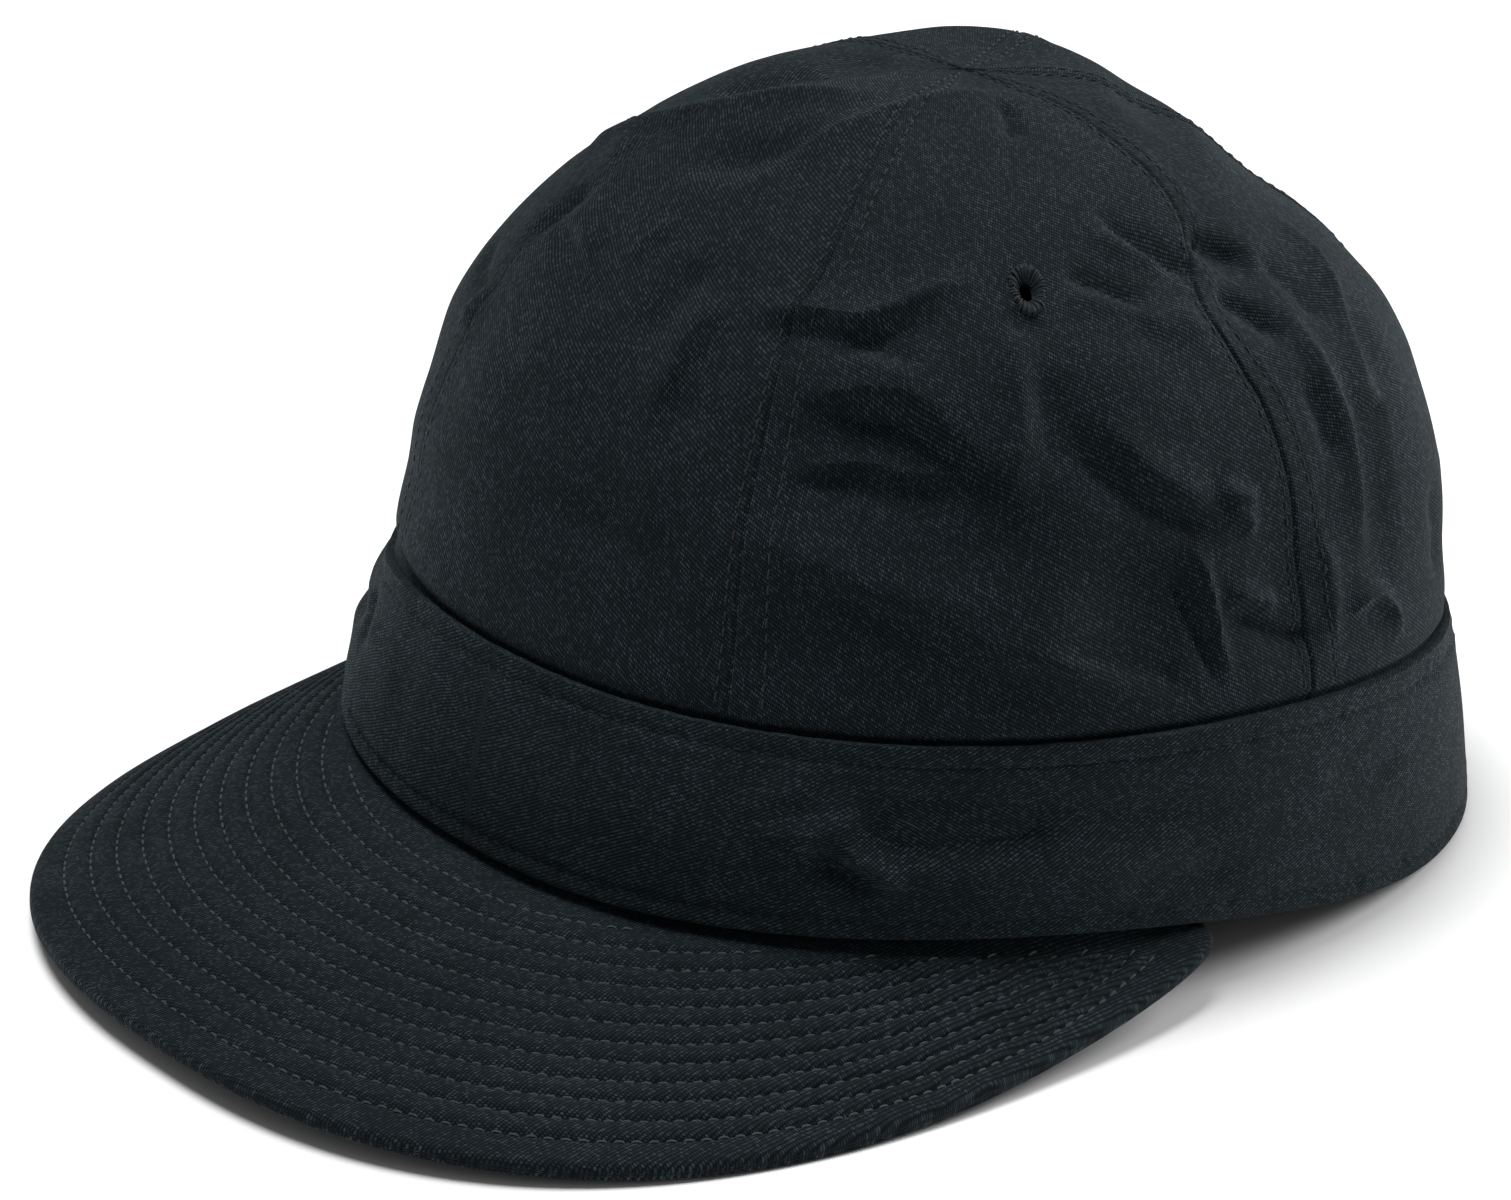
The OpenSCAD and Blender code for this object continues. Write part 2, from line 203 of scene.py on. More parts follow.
def noise(p, scale, seed=0):
    """Smooth noise from -1 to 1, with bumps about scale across."""
    q = np.asarray(p, float) / scale + 7.31 * seed + 100
    i = np.floor(q).astype(int)
    f = q - i
    f = f * f * (3 - 2 * f)
    share = [(1 - f[..., c], f[..., c]) for c in range(3)]
    total = 0
    for step in np.ndindex(2, 2, 2):
        w = share[0][step[0]] * share[1][step[1]] * share[2][step[2]]
        total = total + w * LATTICE[tuple((i[..., c] + step[c]) % 32 for c in range(3))]
    return total * 2 - 1


def run_along(path):
    """Distance along the rows of path, from its start."""
    return np.concatenate([[0], np.cumsum(norm(np.diff(path, axis=0)))])


def smooth_path(points, step=0.02):
    """Points joined by a smooth curve, with a row every step of each stretch."""
    p = np.vstack([2 * points[0] - points[1], points, 2 * points[-1] - points[-2]])
    k = np.arange(0, 1, step)[:, None]
    runs = [
        (2 * b + (c - a) * k + (2 * a - 5 * b + 4 * c - d) * k**2 + (3 * b - a - 3 * c + d) * k**3) * 0.5
        for a, b, c, d in zip(p[:-3], p[1:-2], p[2:-1], p[3:])
    ]
    return np.vstack(runs + [p[-2:-1]])


def normals_of(surface, t, u, dt=0.2, du=0.002):
    """Outward unit normals of surface(t, u)."""
    t, u = np.broadcast_arrays(np.asarray(t, float), np.asarray(u, float))
    along = surface(t + dt, u) - surface(t - dt, u)
    up = surface(t, u + du) - surface(t, u - du)
    return unit(np.cross(along, up))


def spot(surface, t, u):
    """A point of surface(t, u), and the directions out of it, along it and up it."""
    t, u = np.array([float(t)]), np.array([u])
    along = unit(surface(t + 0.3, u) - surface(t - 0.3, u))[0]
    out = normals_of(surface, t, u)[0]
    return surface(t, u)[0], out, along, np.cross(out, along)


class Fold:
    """A ridge or valley on a surface: height and half widths to the left and right of its direction in mm,
    power (low for a sharp crest), and a path of angles and thousandths of the surface's height in turn."""

    FADE = 0.3

    def __init__(self, surface, height, left, right, power, *path):
        path = smooth_path(np.reshape(path, (-1, 2)) / [1, 1000])
        self.at = surface(path[:, 0], path[:, 1])
        self.out = normals_of(surface, path[:, 0], np.clip(path[:, 1], 0.003, 0.985))
        self.along = unit(np.gradient(self.at, axis=0))
        run = run_along(self.at)
        self.run = run / run[-1]
        self.height, self.left, self.right, self.power = height, left, right, power

    def __call__(self, p):
        """Height of the fold at points p, an array of rows."""
        made = np.zeros(len(p))
        reach = 3 * max(self.left, self.right)
        box = (p > self.at.min(0) - reach).all(-1) & (p < self.at.max(0) + reach).all(-1)
        near = p[box]
        if not len(near):
            return made
        d2 = ((near[:, None] - self.at[None]) ** 2).sum(-1)
        k = d2.argmin(1)
        d = np.sqrt(d2[np.arange(len(near)), k])
        side = (np.cross(self.out[k], self.along[k]) * (near - self.at[k])).sum(-1)
        w = np.where(side > 0, self.left, self.right)
        ends = ease(self.run[k], 0, self.FADE) * (1 - ease(self.run[k], 1 - self.FADE, 1))
        made[box] = self.height * ends * np.exp(-((d / w) ** self.power))
        return made


class Dent:
    """An oval hollow (height below 0) or swelling, with its place as in Fold and half sizes in mm along and
    up the surface. A sharp of 1 is soft, and more gives a flat floor and steep sides."""

    def __init__(self, surface, t, u, wide, tall, height, turn, sharp):
        self.at, _, along, up = spot(surface, t, u / 1000)
        self.x = along * cosd(turn) + up * sind(turn)
        self.y = up * cosd(turn) - along * sind(turn)
        self.half, self.height, self.sharp = (wide, tall), height, sharp

    def __call__(self, p):
        q = p - self.at
        r2 = ((q @ self.x) / self.half[0]) ** 2 + ((q @ self.y) / self.half[1]) ** 2
        near = norm(q) < 2.5 * max(self.half)
        return np.where(near, self.height * np.exp(-(r2**self.sharp)), 0)


# ---------- the crown cloth ----------

# Angle of each seam at shares of the crown's height
SEAM_U = [0, 0.1, 0.2, 0.3, 0.4, 0.5, 0.55, 0.6, 0.63, 0.66, 0.7, 0.75, 0.8, 0.85, 1]
SEAMS = [
    [28, 27.8, 27.3, 26.9, 26.5, 26.2, 26, 25.6, 25.3, 25.4, 26.8, 27.2, 27.2, 26.8, 26.2],
    [95, 94.5, 93.5, 92.9, 92.5, 91.7, 91, 89.3, 88, 87, 87.1, 90.2, 94.2, 96.5, 97.2],
    [153, 153.4, 154, 154.4, 154, 153, 152.4, 152, 152, 152.6, 153, 153.4, 153, 152, 152],
    [208, 207.6, 207, 206.4, 206.2, 206.6, 207, 207.4, 207.5, 207.6, 207.4, 207, 206.6, 207, 208],
    [267, 267.4, 268, 268.8, 269.4, 270, 270.2, 270, 269.6, 269, 268.4, 268, 268, 268, 268],
    [333, 333.2, 333.8, 334.4, 334.8, 334.6, 334.2, 333.8, 333.6, 333.6, 333.8, 334, 334, 334, 334],
]
# Each panel with the seams at its two sides and the angle of its middle
PANELS = [
    ("front", 5, 0, 360),
    ("left_front", 0, 1, 60),
    ("left_rear", 1, 2, 122),
    ("rear", 2, 3, 180),
    ("right_rear", 3, 4, 238),
    ("right_front", 4, 5, 300),
]
ROWS_BESIDE = (-2.2, 6.0)  # mm from a seam to the topstitched rows beside it
NARROWING = 0.6  # how much closer those rows lie at the top
FLAT_SEAM = 333  # angle of the seam that hardly shows
fine_u = np.linspace(0, 1, 401)
kernel = np.exp(-(np.linspace(-2, 2, 25) ** 2))
kernel /= kernel.sum()
SEAM_CURVES = [
    np.convolve(np.pad(np.interp(fine_u, SEAM_U, s), 12, mode="edge"), kernel, "valid") for s in SEAMS
]


def seam_t(k, u):
    return np.interp(u, fine_u, SEAM_CURVES[k])


def per_degree(t, u):
    """Millimetres along the crown for one degree."""
    return norm(crown(t, np.minimum(u, 0.98))[..., :2]) * math.pi / 180


# Folds of the crown: height, half widths to the left and right, power, path
CROWN_FOLDS = [
    # behind the eyelet and over the side seam
    (-1.5, 3.4, 1.3, 1.3, 73, 835, 76.6, 811, 79.1, 798, 81.8, 780, 84.6, 760, 88.4, 739, 92, 735),
    (1, 1.6, 3.4, 1.6, 70, 800, 75, 785, 80, 762, 85, 735),
    (-1.7, 2.4, 3.4, 1.5, 91, 782, 98, 768, 105, 735),
    (-2, 3, 2.4, 1.5, 90, 710, 95, 678, 101, 615),
    (-1.2, 2.6, 1.2, 1.3, 62, 748, 67, 738, 70.2, 727, 73.2, 713, 77, 695),
    (0.7, 1.4, 3.2, 1.6, 63, 715, 69, 705, 74, 687, 79, 668),
    (0.9, 3, 3, 2, 74, 675, 80, 668, 86, 675),
    # upright ridge under the eyelet
    (1.2, 2.6, 2.2, 1.7, 54.8, 668, 55.3, 583, 55.2, 520, 54.5, 457, 56.6, 363),
    (-0.8, 4, 3, 1.9, 57.9, 626, 59, 520, 60, 436),
    # rim of the big dent in the side, and the creases in it
    (2.3, 8, 1.5, 1.15, 27, 545, 31, 552, 35.3, 566, 41, 570, 44.6, 548, 49, 500, 52, 465, 55, 415,
     57, 370),
    (-1.6, 1.2, 6, 1.2, 29, 525, 35, 535, 41, 532, 45.5, 500, 50.5, 450, 54, 400),
    (1.1, 3, 1.1, 1.2, 29, 425, 33, 452, 38, 465, 44, 456, 50, 457, 53, 440),
    (-1.2, 1.6, 5, 1.5, 29, 400, 36, 430, 44, 425, 51, 420),
    (-0.9, 1.5, 2.4, 1.4, 31, 648, 35.5, 638, 40, 625, 44, 605),
    (0.8, 2, 2, 1.7, 33, 612, 38, 604, 43, 588),
    (1.4, 3, 1.7, 1.35, 17, 650, 22, 660, 28, 668, 33, 668, 37, 680, 41.4, 705, 47.4, 733, 52, 742),
    (-1.1, 1.8, 4.5, 1.5, 18.1, 630, 24, 638, 29.9, 640, 35, 632, 41, 660, 47, 695),
    # light shelf low on the side
    (2.6, 10, 3, 1.3, 24, 315, 30, 312, 36, 290, 41, 258, 44.8, 236, 49, 206, 54, 174, 62.3, 137, 71.2, 94,
     78, 60),
    (-0.9, 3, 5, 1.7, 30, 250, 40, 232, 48, 205, 55, 165),
    # diagonal valley and the folds over the band
    (-1.6, 2.6, 3.6, 1.5, 60, 565, 62, 526, 64.6, 466, 68.3, 424, 72.2, 389, 77.2, 354, 82.5, 334),
    (1.3, 5, 2, 1.5, 64, 560, 68, 500, 72, 445, 77, 405, 82, 395),
    (1.3, 1.8, 1.8, 1.6, 80.3, 408, 83.4, 398, 87.4, 373),
    (1, 1.7, 1.7, 1.6, 81.3, 373, 84.4, 357, 86.4, 321),
    (2, 1.5, 4.5, 1.2, 76.3, 337, 78, 280, 79.5, 207, 81, 125, 82.5, 57),
    (-2.2, 5, 1.3, 1.15, 73.7, 311, 75.7, 228, 78.6, 125, 80.8, 47),
    (-1.2, 3, 2.2, 1.6, 58, 190, 63, 155, 68, 120, 74, 90, 79, 50),
    (1.5, 1.7, 1.7, 1.6, 81.2, 233, 85.2, 212, 90.2, 184),
    (-1.8, 2, 2.6, 1.5, 81.7, 210, 86, 164, 90, 130, 97, 116),
    (1.6, 1.8, 1.8, 1.5, 100.5, 110, 101.5, 135, 104, 160, 107.5, 155, 110.5, 110, 113, 50),
    (0.8, 2.4, 2.4, 1.8, 96.5, 310, 98.3, 207, 99, 83),
    # upright folds behind the side seam
    (1.5, 2.4, 3.4, 1.6, 103.6, 690, 104.3, 572, 105.2, 435, 104.6, 289, 104, 220),
    (1.5, 2.6, 4, 1.6, 127, 790, 125, 752, 120.5, 674, 116, 600, 113.5, 530, 112, 460),
    (-0.9, 2.6, 2.6, 1.7, 100, 570, 101, 500, 101, 400),
    (-1.4, 4, 3, 1.7, 106, 745, 110, 690, 112, 620),
    (-0.8, 1.6, 3, 1.5, 108, 490, 113, 478, 117, 465),
    (0.6, 3, 1.8, 1.5, 108, 508, 113, 498, 117, 485),
    # front panel
    (1, 1.6, 1.6, 1.4, -4, 665, -3.1, 682, -1.9, 711, -0.6, 745),
    (1.7, 2.4, 5, 1.6, 15.5, 680, 14.5, 641, 13.8, 600, 13.3, 550, 13, 500, 12.6, 430),
    (-1.3, 3, 4, 1.8, 10, 710, 8.4, 660, 7.6, 600, 7.2, 550),
    (-1.4, 2.4, 2.8, 1.6, -29, 600, -27.3, 640, -26.5, 690, -27, 730),
    (-1.3, 2.6, 3, 1.6, -26, 655, -19, 650, -12, 622, -6, 600, 0.6, 584),
    (0.9, 3, 2.4, 1.8, -24, 680, -16, 672, -9, 650),
    (0.9, 3, 3, 1.8, -27.2, 547, -27.5, 483, -27.1, 430),
    (1.5, 3.4, 3, 1.6, -48, 740, -38.5, 796, -24, 864, -12.6, 914, 1, 942, 17, 962),
    (-1.8, 5, 3.4, 1.7, -40, 860, -34, 905, -30, 935, -18, 958),
    (1.5, 3, 4, 1.5, 2, 770, 5.8, 801, 9.9, 861, 17.7, 915, 35, 957, 70, 972, 104, 968),
    (-1.2, 4, 4, 1.8, -14, 800, -6, 830, 2, 865, 8, 905),
    (-1.3, 1.8, 1.8, 1.5, 67, 965, 64, 940, 62.4, 915),
    (-0.6, 3, 3, 2, 11.6, 519, 15.6, 493, 19.7, 456),
    (0.6, 5, 3, 1.8, -12, 500, -4, 470, 3, 455),
    (-0.7, 4, 4, 1.8, -4, 300, 4, 265, 12, 255, 20, 220),
    # the far side and the back
    (-1.8, 3, 4, 1.6, 150, 620, 160, 580, 172, 600, 182, 640),
    (-1.6, 3, 3.5, 1.6, 160, 400, 172, 330, 186, 350),
    (1.3, 3, 3, 1.8, 186, 500, 196, 420, 202, 300),
    (0.7, 4, 5, 1.8, 144, 340, 142, 200, 145, 80),
    (-0.8, 4, 4, 1.8, 124, 300, 127, 200, 126, 100),
    (-1.8, 3, 3.4, 1.6, 215, 600, 226, 540, 240, 560),
    (-1.7, 3, 4, 1.6, 222, 300, 236, 220, 250, 250),
    (1.2, 3, 2.6, 1.8, 240, 440, 244, 340, 243, 200),
    (-1.6, 2.4, 3.6, 1.5, 272, 600, 282, 630, 296, 580),
    (-1.7, 3, 4, 1.6, 280, 420, 290, 350, 304, 370, 314, 330),
    (-1.4, 3, 3, 1.6, 296, 220, 306, 150, 318, 170),
    (1.1, 3, 3, 1.8, 300, 500, 303, 400, 301, 280),
    (-1, 3, 3, 1.7, 319.2, 561, 328.2, 513, 337, 537),
    (1, 3, 3, 1.8, 312, 720, 323.5, 776, 334.7, 753),
]
# Broad hollows and swellings: angle, height on the crown, half sizes, height, turn, sharpness
CROWN_DENTS = [
    (-58, 210, 22, 8, 1.7, 0, 1.3),
    (146, 918, 18, 7, -1.7, 0, 1.4),
    (41.5, 420, 23, 14, -2.6, -14, 1.7),
    (69.5, 220, 12, 11, -2.4, -30, 1.5),
    (48, 120, 24, 7, 0.6, -4, 1.3),
    (38, 130, 12, 8, -0.7, 0, 1.3),
    (70, 600, 16, 9, 1.3, -14, 1.2),
    (83, 755, 9, 5, -0.5, -20, 1.4),
    (84, 647, 7, 6, 0.8, 0, 1.2),
    (99, 745, 7, 5, -1.2, -30, 1.4),
    (90, 259, 7, 9, -0.9, 0, 1.3),
    (109, 360, 6, 16, -1.2, 0, 1.4),
    (117, 600, 7, 12, -1, 12, 1.3),
    (-3, 840, 13, 6, -1.2, 14, 1.4),
    (8.7, 269, 9, 9, -0.8, 60, 1.2),
    (-8.8, 434, 18, 20, 0.8, 0, 1.2),
    (17.9, 207, 6, 9, -0.6, 0, 1.2),
    (-46, 968, 9, 6, -2.2, 0, 1.4),
    (56.3, 680, 3, 2.4, -0.7, 0, 1.4),
    (165, 480, 20, 10, -2, 10, 1.5),
    (230, 420, 22, 10, -2.2, 12, 1.5),
    (285, 500, 16, 10, -1.8, -10, 1.5),
    (310, 260, 20, 10, -1.9, 8, 1.5),
    (250, 620, 18, 9, 1, 0, 1.2),
    (140, 550, 16, 10, 0.9, 0, 1.2),
    (150, 800, 30, 16, -2, 0, 1),
    (215, 930, 18, 9, 1.6, 0, 1),
    (302.5, 727, 5, 6, -0.5, 0, 1),
]
CROWN_SHAPES = [
    (1.35, [Fold(crown, *row) for row in CROWN_FOLDS]),
    (1.3, [Dent(crown, *row) for row in CROWN_DENTS]),
]
SINK_LIMIT, SINK_MORE = -3.5, 2.2


def off_right(t, middle, width):
    """1 at an angle on the wearer's right, and 0 far from it."""
    return bell((t + middle + 180) % 360 - 180, width)


def lean(t):
    """How far the crown's foot leans in on the wearer's right."""
    return 2.3 * off_right(t, 46, 25)


def slump(t):
    """How far the band's top edge has slipped down, most of all on the wearer's right."""
    return 0.35 + 5.6 * off_right(t, 42, 15)


def seam_relief(t, u, p, k):
    """Groove, raised allowance, stitch rows and puckers of one seam, in mm."""
    d = ((t - seam_t(k, u) + 180) % 360 - 180) * per_degree(t, u) * (1 if k < 3 else -1)
    near, far = (b * (1 - NARROWING * u) for b in ROWS_BESIDE)
    pucker = noise(xyz(p[..., 0] / 3, p[..., 1] / 3, p[..., 2]), 2.4, 5 + k)
    groove = (0.34 + 0.34 * bell(t - 27, 12)) * bell(d + 0.2, 0.36) * (1 - 0.75 * ease(u, 0.72, 0.92))
    raised = 0.22 * ease(d, -0.1, 0.6) * (1 - ease(d, far + 0.6, far + 2.6))
    rows = 0.16 * bell(d - near, 0.5) + 0.20 * bell(d - far, 0.5)
    return raised - groove - rows + 0.16 * pucker * (bell(d - near, 3.0) + bell(d - far, 3.0))


def crown_relief(t, u, p):
    """How far the cloth stands off the plain crown, in mm."""
    flat = p.reshape(-1, 3)
    groups = (gain * sum(shape(flat) for shape in shapes) for gain, shapes in CROWN_SHAPES)
    relief = sum(groups).reshape(t.shape)
    relief = relief + 0.5 * noise(p, 34, 1) + 0.25 * noise(p, 13, 2) + 0.07 * noise(p, 5, 3)
    r = norm(p[..., :2] + [0, APEX])
    relief = relief - 5.0 * bell(r, 22) + 1.5 * bell(r - 36, 16) * np.maximum(0, -cosd(t - 55))
    # the soft cloth cannot reach the hard shell under it
    deeper = SINK_LIMIT - SINK_MORE * np.tanh((SINK_LIMIT - relief) / SINK_MORE)
    relief = np.where(relief < SINK_LIMIT, deeper, relief)
    seams = sum(seam_relief(t, u, p, k) for k in range(6))
    relief = relief + seams * np.where(np.abs(t - FLAT_SEAM) % 360 < 12, 0.2, 1.0)
    tuck = (0.45 + 1.3 * ease(u, 0.0, 0.018)) * (1 - ease(u, 0.02, 0.17))
    return relief * ease(u, -0.01, 0.03) + tuck - lean(t) * (1 - ease(u, 0.02, 0.30))


def crown_normals(t, u):
    return normals_of(crown, t, np.clip(u, 0.004, 0.985))


def crown_cloth(t, u, depth=0.0):
    """A point of the crown cloth, depth mm under its outer face."""
    t, u = np.broadcast_arrays(np.asarray(t, float), np.asarray(u, float))
    u = np.clip(u, 0, float(sind(90 * TIP)))
    plain_crown = crown(t, u)
    return plain_crown + crown_normals(t, u) * (crown_relief(t, u, plain_crown) - depth)[..., None]


# ---------- meshes ----------


def signed_volume(me):
    me.calc_loop_triangles()
    co = np.zeros(len(me.vertices) * 3)
    me.vertices.foreach_get("co", co)
    tri = np.zeros(len(me.loop_triangles) * 3, int)
    me.loop_triangles.foreach_get("vertices", tri)
    a, b, c = co.reshape(-1, 3)[tri.reshape(-1, 3)].transpose(1, 0, 2)
    return float((a * np.cross(b, c)).sum())


def build(name, shape, material, slot, node, body="cap", cloth=None, sharp=38):
    """A piece made of points in the cap's frame and faces, which takes the node's place on the body. cloth
    holds each point's place on the flat cloth, in mm. It repeats for the second side."""
    verts, faces = shape
    me = bpy.data.meshes.new(name)
    verts = place(np.reshape(verts, (-1, 3)))
    me.from_pydata(verts.tolist(), [], [tuple(int(v) for v in f) for f in faces])
    me.validate()
    me.shade_smooth()
    if sharp:
        me.set_sharp_from_angle(angle=math.radians(sharp))
    if cloth is not None:
        flat = np.zeros((len(me.vertices), 3), np.float32)
        flat[:, :2] = np.resize(cloth, (len(flat), 2))
        me.attributes.new("cloth", "FLOAT_VECTOR", "POINT").data.foreach_set("vector", flat.ravel())
    me.materials.append(material)
    if signed_volume(me) < 0:
        me.flip_normals()
    ob = bpy.data.objects.new(name, me)
    bpy.context.collection.objects.link(ob)
    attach(ob, body)
    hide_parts(node)
    return ob


def two_faced(outer, inner, keep=None):
    """A closed sheet between two grids. Seen from outside, columns run to the right and rows up. Cells that
    are not kept leave a hole with its own wall."""
    rows, cols = outer.shape[:2]
    n = rows * cols
    if keep is None:
        keep = np.ones((rows - 1, cols - 1), bool)
    i, j = np.meshgrid(np.arange(rows - 1), np.arange(cols - 1), indexing="ij")
    at = i * cols + j
    quads = np.stack([at, at + 1, at + cols + 1, at + cols], -1)[keep]
    faces = [quads, quads[:, ::-1] + n]
    grown = np.pad(keep, 1)
    sides = ((-1, 0, 0, 1), (1, 0, cols + 1, cols), (0, -1, cols, 0), (0, 1, 1, cols + 1))
    for di, dj, first, second in sides:
        open_side = keep & ~grown[1 + di : rows + di, 1 + dj : cols + dj]
        p, q = (at + first)[open_side], (at + second)[open_side]
        faces.append(np.stack([p, p + n, q + n, q], -1))
    return np.vstack([outer.reshape(-1, 3), inner.reshape(-1, 3)]), np.vstack(faces)


def ring_faces(steps, m):
    """Faces of a closed ring whose cross sections are loops of m points."""
    i, j = np.meshgrid(np.arange(steps), np.arange(m), indexing="ij")
    k, l = (i + 1) % steps, (j + 1) % m
    return np.stack([i * m + j, i * m + l, k * m + l, k * m + j], -1).reshape(-1, 4)


def tubes(centres, ups, alongs, profile, radius, sides=6):
    """Many short bent tubes in one mesh. profile is a list of (place along, height, share of radius)."""
    m = len(profile)
    across = np.cross(alongs, ups)
    a = np.arange(sides)[:, None] * 2 * math.pi / sides
    verts = np.stack(
        [
            (centres + alongs * x + ups * h)[:, None]
            + radius * r * (np.cos(a) * across[:, None] + np.sin(a) * ups[:, None])
            for x, h, r in profile
        ],
        1,
    )
    base = (np.arange(len(centres)) * m * sides)[:, None]
    k, j = (g.ravel() for g in np.meshgrid(np.arange(m - 1), np.arange(sides), indexing="ij"))
    l = (j + 1) % sides
    quads = np.stack([k * sides + j, (k + 1) * sides + j, (k + 1) * sides + l, k * sides + l], -1)
    ends = [base + np.arange(sides), base + m * sides - 1 - np.arange(sides)]
    return verts.reshape(-1, 3), [f for g in [(quads + base[:, None]).reshape(-1, 4), *ends] for f in g]


def sample(at, run, path):
    """Rows of path at the places at, where run holds each row's own place."""
    return np.stack([np.interp(at, run, c) for c in path.T], -1)


STITCH = 1.9


def sew(name, node, paths, material, pitch, radius, lift, seed):
    """Separate stitches along paths, each a polyline with its upward directions."""
    rnd = np.random.RandomState(seed)
    made = []
    for path, up in paths:
        run = run_along(path)
        at = np.arange(rnd.rand() * pitch + pitch / 2, run[-1], pitch)
        along = unit(sample(at + 0.3, run, path) - sample(at - 0.3, run, path))
        out = sample(np.interp(at, run, np.arange(len(path))), np.arange(len(up)), up)
        out = unit(out - along * (out * along).sum(-1)[:, None])
        turn = np.cross(out, along) * rnd.normal(0, 0.03, (len(at), 1))
        made.append((sample(at, run, path) + out * lift, out, unit(along + turn)))
    half = STITCH / 2
    rise = [(-1, -0.35, 0.5), (-0.8, 0.02, 0.9), (-0.3, 0.16, 1.0)]
    profile = [(half * x, h, r) for x, h, r in rise] + [(-half * x, h, r) for x, h, r in rise[::-1]]
    build(name, tubes(*map(np.vstack, zip(*made)), profile, radius), material, "thread", node)


# ---------- materials ----------


class Nodes:
    """Short ways to write a material's nodes."""

    def __init__(self, name):
        self.material = bpy.data.materials.new(name)
        self.material.use_nodes = True
        self.tree = self.material.node_tree
        self.shader = self.tree.nodes["Principled BSDF"]

    def add(self, kind, inputs=None, **settings):
        node = self.tree.nodes.new("ShaderNode" + kind)
        for key, value in settings.items():
            setattr(node, key, value)
        for key, value in (inputs or {}).items():
            self.put(node.inputs[key], value)
        return node

    def put(self, socket, value):
        if isinstance(value, bpy.types.NodeSocket):
            self.tree.links.new(value, socket)
        else:
            socket.default_value = value

    def math(self, kind, *values):
        return self.add("Math", dict(enumerate(values)), operation=kind).outputs[0]

    def times(self, first, *more):
        for value in more:
            first = self.math("MULTIPLY", first, value)
        return first

    def mix(self, share, low, high):
        return self.add("Mix", {0: share, 6: low, 7: high}, data_type="RGBA").outputs[2]

    def noise(self, vector, scale, detail=2.0, rough=0.5, output="Fac"):
        inputs = {"Vector": vector, "Scale": scale, "Detail": detail, "Roughness": rough}
        return self.add("TexNoise", inputs).outputs[output]

    def ramp(self, value, lo, hi, to_lo=0.0, to_hi=1.0):
        inputs = {0: value, 1: lo, 2: hi, 3: to_lo, 4: to_hi}
        return self.add("MapRange", inputs, clamp=True).outputs[0]

    def bump(self, height, distance, strength, **before):
        inputs = {"Height": height, "Distance": distance, "Strength": strength, **before}
        return self.add("Bump", inputs).outputs[0]

    def finish(self, **sockets):
        for key, value in sockets.items():
            self.put(self.shader.inputs[key.replace("_", " ")], value)
        return self.material


def shade(rgb, f=1.0):
    return (rgb[0] * f, rgb[1] * f, rgb[2] * f, 1)


def twill(name, base, light, turn=-18.0):
    """Twill cloth of short floats in diagonals, with lint and wear, painted highlight on their crowns and
    painted shade between them.
    """
    yarn, run, step = 0.30, 0.86, 0.37
    n = Nodes(name)
    spot_on = n.add("Attribute", attribute_name="cloth").outputs["Vector"]
    drift = n.noise(spot_on, 0.12, 1.0, output="Color")
    bent = n.add("VectorMath", {0: spot_on, 1: drift}, operation="ADD").outputs[0]
    turned = n.add("Mapping", {"Vector": bent, "Rotation": (0, 0, math.radians(turn))})
    split = n.add("SeparateXYZ", {0: turned.outputs[0]})
    place_x = n.math("DIVIDE", split.outputs[0], yarn)
    i = n.math("FLOOR", place_x)
    across = n.math("SUBTRACT", n.math("FRACT", place_x), 0.5)
    round_x = n.math("SUBTRACT", 1.0, n.times(across, across, 4.0))
    place_y = n.math("ADD", n.math("DIVIDE", split.outputs[1], run), n.times(i, step))
    j = n.math("FLOOR", place_y)
    along = n.math("ABSOLUTE", n.math("SUBTRACT", n.math("FRACT", place_y), 0.5))
    height = n.times(round_x, n.ramp(along, 0.40, 0.17))
    cell = n.add("CombineXYZ", {0: i, 1: j}).outputs[0]
    chance = n.add("TexWhiteNoise", {"Vector": cell}, noise_dimensions="3D").outputs[0]
    bright = n.ramp(n.times(chance, chance, chance), 0.0, 1.0, 0.26, 1.0)
    patches = n.ramp(n.noise(spot_on, 0.05, 3.0, 0.6), 0.3, 0.72, 0.75, 1.2)
    slubs = n.ramp(n.noise(spot_on, 0.55, 3.0, 0.65), 0.3, 0.7, 0.82, 1.16)
    # The colour follows the floats' height: painted highlight on their crowns, painted shade on their flanks
    # and in the ground between floats; each float's brightness also varies at random.
    level = n.times(height, bright, n.times(patches, slubs))
    colour = n.mix(level, shade(base), shade(light))
    lint = n.add("TexVoronoi", {"Vector": spot_on, "Scale": 0.16, "Randomness": 1.0})
    specks = n.ramp(lint.outputs["Distance"], 0.045, 0.02)
    fluff = n.times(specks, n.ramp(n.noise(spot_on, 2.4), 0.45, 0.6), 0.35)
    weave = n.bump(height, 0.00010, 0.55)
    return n.finish(
        Base_Color=n.mix(fluff, colour, (0.12, 0.13, 0.13, 1)),
        Roughness=0.86,
        Specular_IOR_Level=0.12,
        Sheen_Weight=n.ramp(level, 0.0, 1.0, 0.005, 0.34),
        Sheen_Roughness=0.4,
        Sheen_Tint=(0.48, 0.68, 0.76, 1),
        Normal=n.bump(n.noise(spot_on, 0.35, 4.0, 0.6), 0.0006, 0.35, Normal=weave),
    )


def plain(name, base, rough, grain, depth, vary, spec=0.4, sheen=0.0):
    """A finish whose colour and surface vary over the object's own space: thread, plastic or felt."""
    n = Nodes(name)
    where = n.add("TexCoord").outputs["Object"]
    fine = n.noise(where, grain, 3.0, 0.6)
    level = n.math("ADD", n.times(fine, 0.6), n.times(n.noise(where, 38.0), 0.4))
    return n.finish(
        Base_Color=n.mix(n.ramp(level, 0.3, 0.7), shade(base, 1 - vary), shade(base, 1 + vary)),
        Roughness=rough,
        Specular_IOR_Level=spec,
        Sheen_Weight=sheen,
        Normal=n.bump(fine, depth, 0.6),
    )
